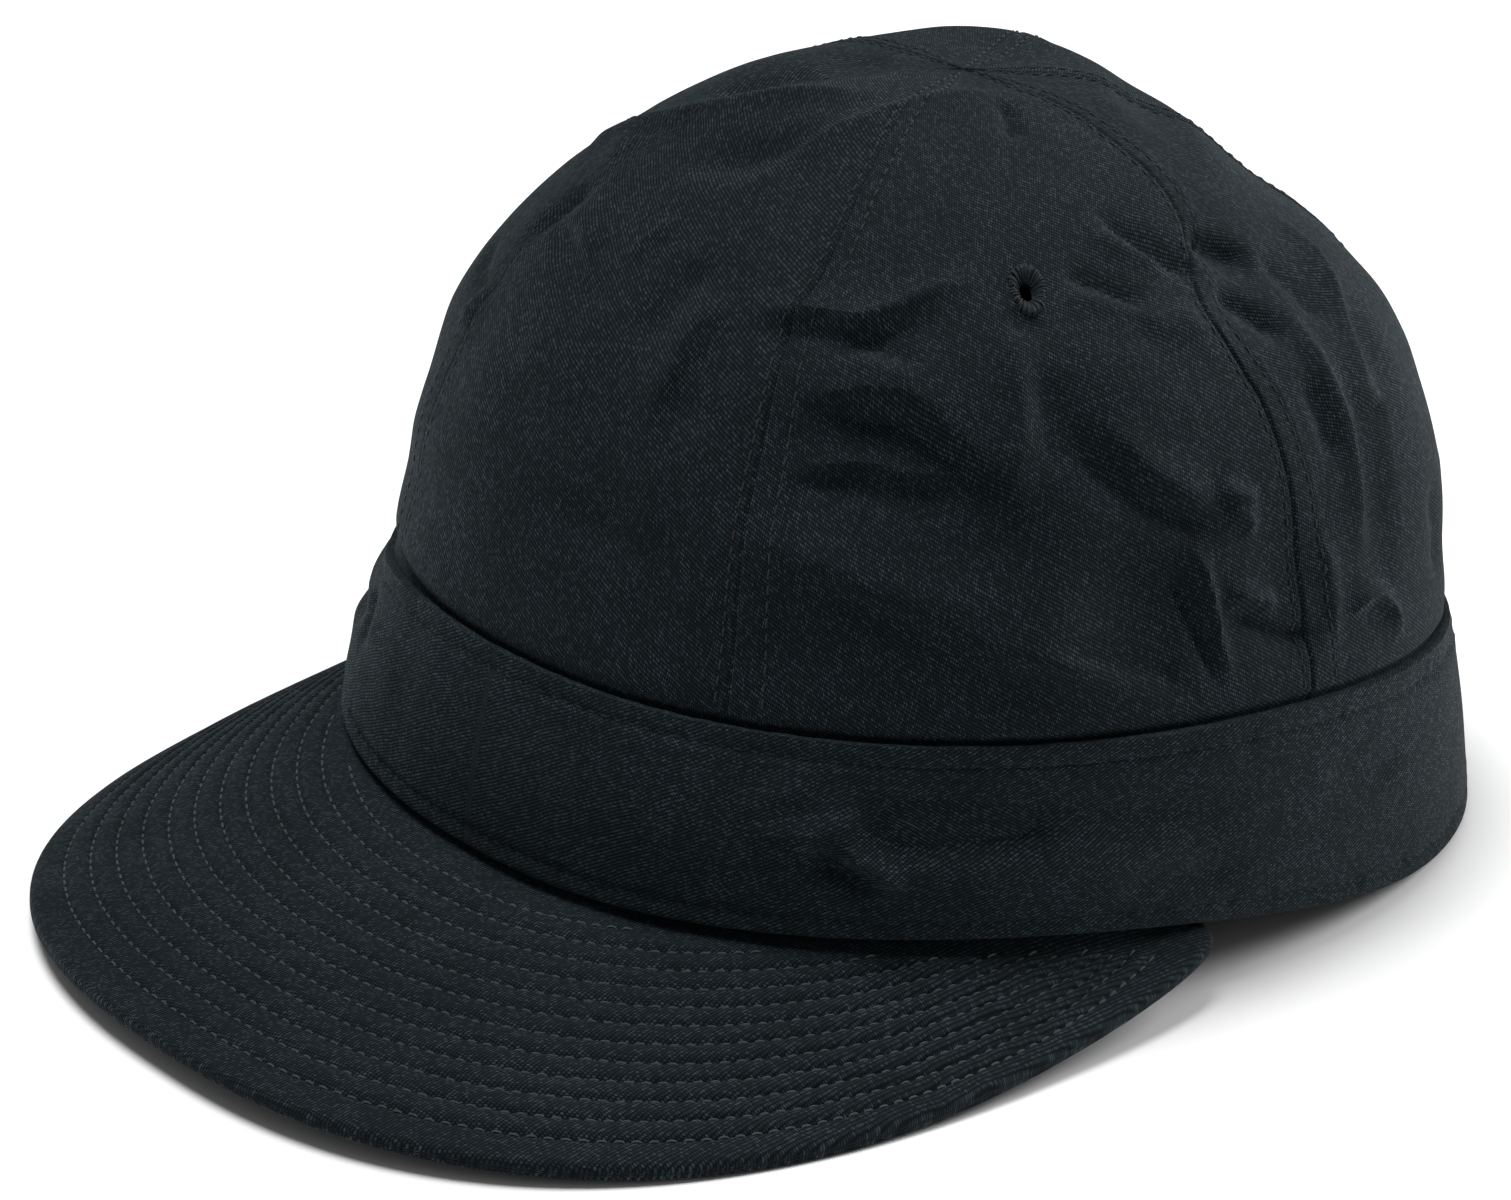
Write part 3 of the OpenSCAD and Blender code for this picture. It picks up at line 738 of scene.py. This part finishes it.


# Each twill's first colour is the ground, which holds painted shade, and its second the floats' crowns,
# which hold painted highlight.
crown_twill = twill("crown_twill", (0.0008, 0.0017, 0.0025), (0.036, 0.060, 0.070))
band_twill = twill("band_twill", (0.0009, 0.0018, 0.0026), (0.044, 0.071, 0.082), turn=104)
brim_twill = twill("brim_twill", (0.0016, 0.0028, 0.0038), (0.039, 0.061, 0.072), turn=48)
thread_mat = plain("thread", (0.0085, 0.0122, 0.0142), 0.8, 2600, 0.00008, 0.5, 0.2, 0.12)
brim_thread = plain("brim_thread", (0.042, 0.054, 0.058), 0.75, 2600, 0.00008, 0.4, 0.2, 0.1)
eyelet_mat = plain("eyelet_thread", (0.014, 0.021, 0.025), 0.6, 2600, 0.00006, 0.7, 0.15, 0.06)
lining_mat = plain("lining", (0.012, 0.013, 0.015), 0.85, 1500, 0.00015, 0.35, 0.25, 0.2)
board_mat = plain("board", (0.030, 0.031, 0.033), 0.5, 300, 0.0001, 0.06, 0.4)
shell_mat = plain("shell_plastic", (0.016, 0.017, 0.019), 0.48, 900, 0.00010, 0.10, 0.5)
trim_mat = plain("trim_rubber", (0.010, 0.010, 0.011), 0.62, 700, 0.00006, 0.12, 0.45)
hook_mat = plain("hook_tape", (0.007, 0.007, 0.008), 0.7, 1400, 0.0003, 0.5, 0.35)
foam_mat = plain("foam", (0.040, 0.043, 0.050), 0.9, 1300, 0.00025, 0.2, 0.2, 0.25)


# ---------- crown panels ----------

EYE_T, EYE_U = 57.5, 0.727
EYE_CUT, EYE_HOLE, EYE_OUT, EYE_TALL = 2.4, 1.2, 3.4, 1.5
HEM = 5.0  # mm of the band's height at which the panels' lower edges end


def spread(width):
    """Places across a panel of that width: close together by the seams, then about every mm."""
    near = [0, 0.25, 0.5, 0.8, 1.2, 1.7, 2.2, 2.8, 3.5, 4.3, 5.1, 5.7, 6.2, 6.9, 7.7, 8.6]
    mid = np.linspace(near[-1], width - near[-1], int((width - 2 * near[-1]) / 0.95) + 2)[1:-1]
    return np.concatenate([near, mid, [width - x for x in near[::-1]]]) / width


def eyelet_frame(left):
    """Centre of the cloth at the eyelet, and the directions out, right and up there."""
    t = EYE_T if left else 360 - EYE_T
    _, out, right, up = spot(crown, t, EYE_U)
    return crown_cloth([t], [EYE_U])[0], out, right, up


def panel(where, k0, k1, middle):
    c = spread(math.radians((seam_t(k1, 0.2) - seam_t(k0, 0.2)) % 360) * 92)
    stretches = ((-1, -0.05, 12), (0, 0.024, 5), (0.03, 1, 160))
    v = np.concatenate([np.linspace(*stretch) for stretch in stretches])
    u = np.where(v > 0, sind(90 * np.maximum(v, 0) * TIP), 0)
    t0, t1 = seam_t(k0, u), seam_t(k1, u)
    t1 = np.where(t1 < t0, t1 + 360, t1)
    T = t0[:, None] + 0.02 + (t1 - t0 - 0.04)[:, None] * c[None]
    U = np.repeat(u[:, None], len(c), 1)
    outer, inner = crown_cloth(T, U), crown_cloth(T, U, CLOTH_T)
    hem = v < 0
    f = mix(1.0, HEM / BAND_H, -v[hem])[:, None] * np.ones_like(T[hem])
    edge = (outer[hem] - crown(T[hem], U[hem])) * (1 - ease(-v[hem], 0.1, 1.0))[:, None, None]
    outer[hem] = band_wall(T[hem], f, INSET) + edge
    inner[hem] = band_wall(T[hem], f, INSET + CLOTH_T) + edge
    rise = run_along(crown(middle, u))
    rise[hem] += BAND_H * v[hem]
    cloth = xyz((T - middle) * per_degree(T, U), rise[:, None])
    keep = None
    if where in ("left_front", "right_front"):
        at, _, right, up = eyelet_frame(where == "left_front")
        q = outer[:-1, :-1] / 2 + outer[1:, 1:] / 2 - at
        keep = ((q @ right) / EYE_CUT) ** 2 + ((q @ up) / (EYE_CUT * EYE_TALL)) ** 2 > 1
    node = f"crown_{where}_panel"
    ob = build(node + "_cloth", two_faced(outer, inner, keep), crown_twill, "crown_twill", node, cloth=cloth)
    across, rises = norm(np.diff(outer, axis=1)), norm(np.diff(outer, axis=0))


for row in PANELS:
    panel(*row)


# ---------- eyelets ----------

# A thread of the eyelet from the hole outwards: share of the way, height and share of its thickness
EYE_THREAD = [(0, -1.2, 0.6), (0.12, -0.8, 0.8), (0.35, -0.1, 1)]
EYE_THREAD += [(0.65, 0.36, 1.05), (0.88, 0.2, 1), (1, -0.4, 0.7)]
# The ring under the threads: distance out and height
EYE_RING = [(1.0, -1.9), (1.05, -1.3), (1.45, -0.7), (2.0, -0.1), (2.6, -0.12), (2.85, -0.5), (2.85, -1.6)]


def eyelet(left):
    """A worked eyelet: a padded ring under threads that run out from the hole."""
    at, out, right, up = eyelet_frame(left)
    rnd = np.random.RandomState(4 if left else 2)
    count, sides, steps = 42, 6, 48
    a = (np.arange(count) + rnd.normal(0, 0.12, count)) * 2 * math.pi / count
    ray = np.cos(a)[:, None] * right + EYE_TALL * np.sin(a)[:, None] * up
    sweep = unit(-np.sin(a)[:, None] * right + EYE_TALL * np.cos(a)[:, None] * up)
    outer = EYE_OUT + rnd.normal(0, 0.12, count)
    b = np.arange(sides)[:, None] * 2 * math.pi / sides
    verts, faces = [], []
    for k in range(count):
        line = [
            at + ray[k] * mix(EYE_HOLE, outer[k], s) + out * (h + 0.05 * rnd.normal() + 0.12 * (-1) ** k)
            for s, h, _ in EYE_THREAD
        ]
        upward = unit(np.cross(unit(line[-1] - line[0]), sweep[k]))
        base = sides * len(line) * k
        for p, (_, _, r) in zip(line, EYE_THREAD):
            thick = max(0.20 * r * norm(p - at) / EYE_OUT, 0.13)
            verts.append(p + thick * (np.cos(b) * sweep[k] + np.sin(b) * upward))
        loops = ring_faces(len(line), sides)[: -sides]
        faces += [*(base + loops), base + np.arange(sides)[::-1], base + len(loops) + np.arange(sides)]
    x = np.arange(steps) * 2 * math.pi / steps
    ring = np.cos(x)[:, None] * right + EYE_TALL * np.sin(x)[:, None] * up
    verts.append(at + np.stack([ring * d * 1.17 + out * h for d, h in EYE_RING], 1).reshape(-1, 3))
    faces += [*(count * sides * len(EYE_THREAD) + ring_faces(steps, len(EYE_RING)))]
    node = "left_eyelet" if left else "right_eyelet"
    build(node + "_threads", (np.vstack(verts), faces), eyelet_mat, "thread", node)


for left in (True, False):
    eyelet(left)

# ---------- crown stitching and tapes ----------


def crown_rows():
    for k in range(6):
        side = 1 if k < 3 else -1
        for beside in ROWS_BESIDE:
            u = sind(90 * np.linspace(0.01, 0.955, 240))
            t = seam_t(k, u)
            t = t + side * beside * (1 - NARROWING * u) / per_degree(t, u)
            deep = 0.14 if abs(t[0] % 360 - FLAT_SEAM) < 10 else 0.0
            yield crown_cloth(t, u, deep), crown_normals(t, u)


sew("crown_stitches", "crown_topstitching", crown_rows(), thread_mat, 2.7, 0.2, 0.02, 2)

TAPE_HALF, TAPE_IN, TAPE_OUT = 6.0, CLOTH_T + 0.35, CLOTH_T + 0.85
for k in range(6):
    u = sind(90 * np.linspace(0.03, 0.8, 60))
    t = seam_t(k, u)
    half = np.minimum(TAPE_HALF, 23.94 * per_degree(t, u))
    off = half[:, None] * np.linspace(-1, 1, 7)
    T, U = t[:, None] + off / per_degree(t, u)[:, None], np.repeat(u[:, None], 7, 1)
    outer = crown_cloth(T, U, TAPE_IN)
    cloth = xyz(off, np.linspace(0, 120, 60)[:, None])
    shape = two_faced(outer, crown_cloth(T, U, TAPE_OUT))
    ob = build(f"seam_tape_{k + 1}", shape, crown_twill, "lining", "seam_tapes", cloth=cloth)
    tall = float(norm(np.diff(outer[:, 3], axis=0)).sum()) * 1e-3


# ---------- the folded band ----------

STITCH_OFF = 3.2
BAND_ROWS = (STITCH_OFF / BAND_H, 1 - STITCH_OFF / BAND_H)

BAND_FOLDS = [
    (0.8, 2.6, 3.2, 1.5, -70, 800, -56, 760, -42, 740, -32, 720),
    (-1.2, 2.4, 2.4, 1.6, -66, 620, -52, 580, -40, 570, -31, 560),
    (0.7, 3, 3.4, 1.6, -66, 400, -52, 380, -40, 400, -34, 420),
    (1, 3, 3, 1.8, 30, 520, 36, 530, 40, 570, 44, 660),
    (1.7, 2.2, 2.2, 1.4, 39.5, 500, 42, 430, 44.5, 350, 46.8, 280),
    (-1.6, 2, 2.4, 1.5, 37, 440, 40, 360, 43, 270),
    (-1.7, 2.6, 3.8, 1.5, 41, 580, 46, 600, 53, 600, 62, 560),
    (-0.9, 5, 6, 1.7, 36, 740, 46, 720, 58, 680, 70, 620, 84, 580),
    (0.7, 6, 4, 1.8, 46, 360, 56, 340, 68, 320, 80, 340),
    (0.6, 2.6, 2.6, 1.6, 30, 620, 34, 700, 38, 800),
    (-0.8, 3, 3, 1.8, 66, 300, 72, 270, 80, 250, 86, 270),
    (-1, 3, 3, 1.7, -34, 800, -30, 620, -31, 450),
    (0.5, 4, 4, 1.8, -30, 700, -22, 600, -14, 580),
    (-0.7, 3, 3, 1.8, 96, 700, 104, 600, 112, 620),
    (-0.9, 4, 4, 1.8, 150, 620, 165, 500, 178, 520),
    (-0.9, 4, 4, 1.8, 215, 400, 228, 520, 240, 500),
    (-0.9, 4, 4, 1.8, 290, 600, 300, 480, 312, 460),
]
band_shapes = [Fold(band_wall, *row) for row in BAND_FOLDS]
for row in ((47, 570, 9, 4, -0.9, -4, 1.3), (20, 500, 24, 8, 0.3, 0, 1.2), (75, 500, 16, 7, -0.5, 0, 1.2)):
    band_shapes.append(Dent(band_wall, *row))


def pressed(t, f):
    """How far the blousing crown presses the band's face in, on the wearer's right."""
    return lean(t) * ease(f, 0.1, 0.95)


def band_relief(t, f, p):
    relief = sum(b(p.reshape(-1, 3)) for b in band_shapes).reshape(t.shape)
    relief = relief * (1.5 + 0.8 * bell(t - 50, 20))
    relief = relief + 0.35 * noise(p, 26, 21) + 0.14 * noise(p, 9, 22)
    relief = relief * ease(f, 0, 0.2) * (1 - ease(f, 0.85, 1))
    ripple = noise(xyz(p[..., 0], p[..., 1], p[..., 2] / 3), 1.9, 23)
    for row in BAND_ROWS:
        d = (f - row) * BAND_H
        relief = relief - 0.55 * bell(d, 0.6) + 0.30 * ripple * bell(d, 2.2)
    return relief - pressed(t, f)


def slumped(p, t, f):
    return p - xyz(0, 0, slump(t) * ease(f, 0.15, 1))


def band_cloth(t, f):
    t, f = np.broadcast_arrays(np.asarray(t, float), np.asarray(f, float))
    p = band_wall(t, f)
    return slumped(p + normals_of(band_wall, t, f) * band_relief(t, f, p)[..., None], t, f)


FOLD_ANGLES = (25, 65, 90, 115, 155)


def folded_edge(t, f, angles, push):
    """Lines round the band at a folded edge, each at its own angle round the fold."""
    radius = BAND_T / 2
    for a in angles:
        off = radius * cosd(a) - radius - push
        yield a, band_wall(t, f) + normals_of(band_wall, t, f) * off[..., None]


def outer_band():
    steps = 470
    t = np.arange(steps) * 360 / steps
    face = np.concatenate([[0.012, 0.03, 0.05], np.linspace(0.07, 0.93, 34), [0.95, 0.97, 0.988]])
    back = np.linspace(0.96, 0.04, 12)
    top, bottom = [], []
    for a, p in folded_edge(t, 0.99, FOLD_ANGLES, pressed(t, 1.0)):
        top.append(p + xyz(0, 0, 0.25 + 0.504 * sind(a) + 0.12 * noise(p, 2.2, 31) - slump(t)))
    for a, p in folded_edge(t, 0.01, FOLD_ANGLES[::-1], 0 * t):
        bottom.append(p - xyz(0, 0, 0.36 * sind(a) + 0.05 * noise(p, 2.2, 32)))
    T, F = np.meshgrid(t, back, indexing="ij")
    pushed = normals_of(band_wall, T, F) * (0.8 * pressed(T, F))[..., None]
    behind = slumped(band_wall(T, F, BAND_T) - pushed, T, F)
    front = band_cloth(*np.meshgrid(t, face, indexing="ij"))
    verts = np.concatenate([front, np.stack(top, 1), behind, np.stack(bottom, 1)], 1)
    run = run_along(band_wall(t, 0.5))
    rolled = np.arange(5) * 0.7
    rise = np.concatenate([face * BAND_H, BAND_H + rolled, -back * BAND_H, -rolled - 1])
    cloth = xyz(run[:, None], rise)
    shape = verts, ring_faces(steps, verts.shape[1])[:, ::-1]
    ob = build("outer_band_cloth", shape, band_twill, "band_twill", "outer_band", cloth=cloth)


outer_band()


def band_rows():
    t = np.linspace(-180, 180, 1400)
    for f in BAND_ROWS:
        yield band_cloth(t, f), normals_of(band_wall, t, f)


sew("band_stitches", "band_stitching", band_rows(), thread_mat, 2.8, 0.19, -0.05, 4)


def sweatband():
    steps, high = 360, 32 / BAND_H
    t = np.arange(steps) * 360 / steps
    out = INSET + CLOTH_T + CLEAR
    up = np.linspace(0.03, high, 14)
    T, F = np.meshgrid(t, up, indexing="ij")
    wall = band_wall(T, F, out + 0.15)
    rolled = 0.18 * noise(wall, 16, 41) - 0.25 * bell((F - 0.86) * BAND_H, 0.8)
    face = band_wall(T, F, out + 1.5) - normals_of(band_wall, T, F) * rolled[..., None]
    lip = [band_wall(t, 0.0, out + d) - [0, 0, z] for d, z in ((0.3, 0.1), (0.8, 0.35), (1.3, 0.1))]
    top = [band_wall(t, high + 0.012, out + d) for d in (1.2, 0.8, 0.4)]
    verts = np.concatenate([wall[:, ::-1], np.stack(lip, 1), face, np.stack(top, 1)], 1)
    rise = np.concatenate([up[::-1] * BAND_H, [0, -0.5, -1], -up * BAND_H, [-30, -31, -32]])
    cloth = xyz(t[:, None] * 588 / 360, rise)
    shape = verts, ring_faces(steps, verts.shape[1])
    ob = build("sweatband_cloth", shape, crown_twill, "lining", "sweatband", cloth=cloth)


sweatband()

# ---------- the brim ----------


def brim_point(s, f):
    s, f = np.broadcast_arrays(np.asarray(s, float), np.asarray(f, float))
    root, edge = brim_root(s), brim_edge(s)
    return root + (edge - root) * f[..., None]


def brim_relief(s, d, p):
    """Height of the brim's top over its plain face, d mm in from the edge."""
    relief = 0.22 * noise(p, 42, 51) + 0.10 * noise(p, 11, 52)
    stitched_part = ease(brim_width(s) - d, 5.5, 9)
    for k in range(ROWS):
        at = EDGE_ROW + k * ROW_PITCH
        ripple = noise(p, 1.7, 53 + k)
        relief = relief + stitched_part * (-0.42 * bell(d - at, 0.55) + 0.14 * ripple * bell(d - at, 1.6))
    between = np.clip((d - EDGE_ROW) / ROW_PITCH, 0, ROWS - 1)
    padded = 0.55 * np.abs(sind(180 * between)) ** 0.8 * stitched_part
    return relief + padded + 0.16 * bell(d - 3.0, 1.8)


def brim_cover(name, node, top):
    """One cover of the brim. Its edge rolls over towards the other cover."""
    s = np.linspace(-1, 1, 330)[:, None]
    near = [0, 0.06, 0.2, 0.42, 0.7, 1.05, 1.5, 2.1, 2.8, 3.6, 4.4, 5.2, 5.8, 6.2, 6.5, 6.8, 7.2, 7.8]
    width = brim_width(s)
    mine = np.minimum(1, width * 0.9 / near[-1]) * near
    far = width + (mine[:, -1:] - width) * np.linspace(0, 1, 125)[:-1]
    d = np.hstack([far, mine[:, ::-1]])
    S = np.repeat(s, d.shape[1], 1)
    p = brim_point(S, 1 - d / width)
    r = 1.15
    roll = np.where(d < r, r - np.sqrt(np.maximum(r * r - (r - d) ** 2, 0)), 0)
    lift = brim_relief(S, d, p) * ease(d, 0.2, 1.5)
    shut = np.maximum(1 - ease(d, 0.3, 2.0), ease(np.abs(S), 0.97, 0.985))
    if top:
        upper = lift - roll
        lower = np.minimum(mix(0.3 * lift - COVER_T, 0.03 - BRIM_THICK / 2, shut), upper - 0.25)
    else:
        lower = roll - BRIM_THICK - 0.7 * lift
        upper = np.maximum(mix(COVER_T - BRIM_THICK, -0.03 - BRIM_THICK / 2, shut), lower + 0.25)
    shape = two_faced(*((p + xyz(0, 0, z)).transpose(1, 0, 2) for z in (upper, lower)))
    flat = p[..., :2].transpose(1, 0, 2).reshape(-1, 2)
    slot = "band_twill" if top else "crown_twill"
    ob = build(name, shape, brim_twill, slot, node, cloth=np.concatenate([flat, flat + 0.7]))
    across, deep = (float(size) * 1e-3 for size in np.ptp(p[..., :2], axis=(0, 1)))
    cell = np.cross(p[1:, :-1] - p[:-1, :-1], p[:-1, 1:] - p[:-1, :-1])
    area = float(norm(cell).sum()) * 1e-6


brim_cover("brim_top_cloth", "brim_top_cover", True)
brim_cover("brim_under_cloth", "brim_under_cover", False)


def brim_rows():
    for k in range(ROWS):
        d = EDGE_ROW + k * ROW_PITCH
        s = np.linspace(-0.985, 0.985, 900)
        s = s[brim_width(s) - 6.2 > d]
        p = brim_point(s, 1 - d / brim_width(s))
        p[:, 2] += brim_relief(s, np.full_like(s, d), p)
        yield p, np.repeat([[0.0, 0, 1]], len(p), 0)


sew("brim_stitches", "brim_stitching", brim_rows(), brim_thread, 2.8, 0.21, 0.06, 6)

# ---------- loop and hook patches, pads ----------


def patch(name, node, t, u, size, depths, material, slot, body, padded=False):
    """A rounded patch between two depths under the plain crown."""
    cols, rows = (44 if padded else 30), 26
    x, y = np.meshgrid(*(np.sin(np.linspace(-1, 1, n) * math.pi / 2) for n in (cols, rows)))
    at, _, _, _ = spot(lambda t, u: crown(t, u, 4.0), t, u)
    step = norm(spot(crown, t, u + 0.005)[0] - spot(crown, t, u - 0.005)[0])
    T = t + math.degrees(size[0] / 2 / norm(at[:2])) * x * (1 - 0.06 * y**6)
    U = u + size[1] / 2 / step * 0.01 * y * (1 - 0.06 * x**6)
    if padded:
        thick = np.maximum(np.maximum((1 - x**8) * (1 - y**6), 0) ** 0.4, 0.12)
        thick = thick * (1 - 0.10 * bell(np.abs(y) - 0.45, 0.07))
    else:
        thick = np.maximum(np.maximum((1 - x**16) * (1 - y**16), 0) ** 0.35, 0.15)
    off = np.minimum(crown_relief(T, U, crown(T, U)), 0.2) if body == "cap" else 0.0
    outer, inner = crown(T, U, depths[0] - off), crown(T, U, mix(*depths, thick) - off)
    cloth = xyz(x * size[0] / 2, y * size[1] / 2)
    return build(name, two_faced(outer, inner), material, slot, node, body, cloth)


LOOP_FACE = CLOTH_T + CLEAR + 2.0
LOOP_DEPTHS, HOOK_DEPTHS = (LOOP_FACE - 1.2, LOOP_FACE), (LOOP_FACE + 0.4, SHELL_INSET - 0.3)
PAD_DEPTH, PAD_T = SHELL_INSET + SHELL_T + 0.3, 5.2
for where, t in (("front", 0), ("rear", 180), ("left", 70), ("right", -70)):
    at = (t, 0.33, (26, 22))
    patch(f"{where}_loops", f"{where}_loop_patch", *at, LOOP_DEPTHS, lining_mat, "lining", "cap")
    patch(f"{where}_hooks", f"{where}_hook_patch", *at, HOOK_DEPTHS, hook_mat, "hook_tape", "insert")
PAD_ENDS, PAD_SIDES = (0.30, (80, 26)), (0.34, (70, 24))
for where, t in (("front", 0), ("rear", 180), ("left", 90), ("right", -90)):
    at = PAD_SIDES if abs(t) == 90 else PAD_ENDS
    depths = (PAD_DEPTH, PAD_DEPTH + PAD_T)
    ob = patch(f"{where}_cushion", f"{where}_pad", t, *at, depths, foam_mat, "foam", "insert", True)


def crown_cushion():
    """The round cushion at the top: a profile of heights on the crown and depths, turned round."""
    rim = [(0.9, 0), (0.925, 0), (0.95, 0), (0.975, 0), (0.988, 0), (0.992, 1.5), (0.992, 3.5)]
    rim += [(0.986, 4.8), (0.97, 5.2), (0.95, 5.3), (0.925, 5.1), (0.905, 4.3), (0.896, 2.8), (0.895, 1.2)]
    steps = 72
    t = np.arange(steps) * 360 / steps
    verts = np.stack([crown(t, u, PAD_DEPTH + 0.1 + h) for u, h in rim], 1)
    shape = verts, ring_faces(steps, len(rim))
    ob = build("crown_cushion", shape, foam_mat, "foam", "crown_pad", "insert")


crown_cushion()

# ---------- the hard shell ----------

SHELL_COLS, SHELL_ROWS = 60, 10
SHELL_FACES = (SHELL_INSET, SHELL_INSET + SHELL_T)
RIM_U = (SHELL_RIM - BAND_H) / (CROWN_H - BAND_H)


def shell():
    """The moulding with its vents. Its edges are creased, and subdivision rounds them."""
    u = mix(RIM_U, 1.0, sind(90 * np.linspace(0, 1, SHELL_ROWS + 1) * TIP))
    T, U = np.meshgrid(np.arange(SHELL_COLS) * 360 / SHELL_COLS, u)
    n = T.size
    i, j = np.meshgrid(np.arange(SHELL_COLS), np.arange(SHELL_ROWS))
    vent = ((j == 4) & ((i % 6 == 2) | (i % 6 == 3))) | ((j == 6) & ((i % 10 == 4) | (i % 10 == 5)))
    faces = []
    for b in range(SHELL_ROWS):
        for a in range(SHELL_COLS):
            left, right = b * SHELL_COLS + a, b * SHELL_COLS + (a + 1) % SHELL_COLS
            quad = [left, right, right + SHELL_COLS, left + SHELL_COLS]
            if not vent[b, a]:
                faces += [quad, [x + n for x in quad[::-1]]]
                if b in (0, SHELL_ROWS - 1):
                    p, q = quad[:2] if b == 0 else quad[2:]
                    faces.append([p, p + n, q + n, q])
                continue
            for k, (da, db) in enumerate(((0, -1), (1, 0), (0, 1), (-1, 0))):
                if not vent[b + db, (a + da) % SHELL_COLS]:
                    p, q = quad[k], quad[(k + 1) % 4]
                    faces.append([q, q + n, p + n, p])
    shape = np.stack([crown(T, U, depth) for depth in SHELL_FACES]), faces
    names = "shell_plastic", "impact_shell", "insert"
    ob = build("impact_shell_moulding", shape, shell_mat, *names, sharp=0)
    me = ob.data
    touching = {}
    for f in me.polygons:
        for key in f.edge_keys:
            touching.setdefault(key, []).append(f.normal.copy())
    pairs = (touching[e.key] for e in me.edges)
    sharp = [len(two) == 2 and two[0].angle(two[1]) > math.radians(50) for two in pairs]
    layer = me.attributes.new("crease_edge", "FLOAT", "EDGE")
    layer.data.foreach_set("value", np.where(sharp, 0.55, 0).astype(np.float32))
    sub = ob.modifiers.new("smooth", "SUBSURF")
    sub.levels = sub.render_levels = 2


def rim_trim():
    steps, sides, radius, drop = 180, 14, 1.75, 1.9
    t = np.arange(steps) * 360 / steps
    a = np.arange(sides)[:, None] * 360 / sides
    mid = sum(crown(t, RIM_U, depth) for depth in SHELL_FACES) / 2 - [0, 0, drop]
    out = xyz(sind(t), -cosd(t), 0)[:, None]
    verts = mid[:, None] + radius * (cosd(a) * out + sind(a) * [0, 0, 1.0])
    shape = verts, ring_faces(steps, sides)
    build("shell_rim_bead", shape, trim_mat, "trim_rubber", "shell_rim_trim", "insert")


shell()
rim_trim()

# ---------- what stays as packed ----------

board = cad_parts["brim_board"].data
board.materials.clear()
board.materials.append(board_mat)

# ---------- floor, light and camera ----------


def studio():
    bpy.ops.mesh.primitive_grid_add(x_subdivisions=8, y_subdivisions=8, size=6.0)
    floor = bpy.context.active_object
    floor.name = "floor"
    n = Nodes("floor_paint")
    tone = n.ramp(n.noise(n.add("TexCoord").outputs["Object"], 3.0), 0.0, 1.0, 0.93, 0.95)
    grey = n.add("CombineColor", {0: tone, 1: tone, 2: tone}).outputs[0]
    floor.data.materials.append(n.finish(Base_Color=grey, Roughness=0.9, Specular_IOR_Level=0.1))
    floor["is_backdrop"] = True
    world = bpy.data.worlds.new("studio")
    bpy.context.scene.world = world
    world.use_nodes = True
    sky = world.node_tree.nodes["Background"]
    sky.inputs[0].default_value, sky.inputs[1].default_value = (1, 1, 1, 1), 0.20
    for name, at, aim, wide, watts in (
        ("key", (-0.25, -0.15, 1.55), (0, 0, 0.06), 0.8, 24.5),
        ("rim", (0.45, 1.35, 0.75), (0, 0, 0.08), 0.9, 17.5),
    ):
        lamp = bpy.data.lights.new(name, "AREA")
        lamp.shape, lamp.size, lamp.energy = "DISK", wide, watts
        ob = bpy.data.objects.new(name, lamp)
        ob.location = at
        ob.rotation_euler = (Vector(aim) - ob.location).to_track_quat("-Z", "Y").to_euler()
        bpy.context.collection.objects.link(ob)


def camera():
    """The photograph's view: 48 degrees round from the front and 24 degrees up, from 0.85 m away."""
    az, el, roll = (math.radians(a) for a in (48.4, 23.92, 1.14))
    back = Vector((math.sin(az) * math.cos(el), -math.cos(az) * math.cos(el), math.sin(el)))
    flat = (-back).cross(Vector((0, 0, 1))).normalized()
    rise = flat.cross(-back)
    right = math.cos(roll) * flat + math.sin(roll) * rise
    up = -math.sin(roll) * flat + math.cos(roll) * rise
    at = Vector((0, 0, 0.070)) - 0.00489 * right - 0.0219 * up + 0.85 * back
    data = bpy.data.cameras.new("camera")
    data.sensor_width, data.lens = 36.0, 115.1
    data.clip_start, data.clip_end = 0.02, 40.0
    ob = bpy.data.objects.new("camera", data)
    turn = Matrix((right, up, back)).transposed().to_4x4()
    turn.translation = at
    ob.matrix_world = turn
    bpy.context.collection.objects.link(ob)
    bpy.context.scene.camera = ob


studio()
camera()
bpy.context.scene.view_settings.view_transform = "Standard"
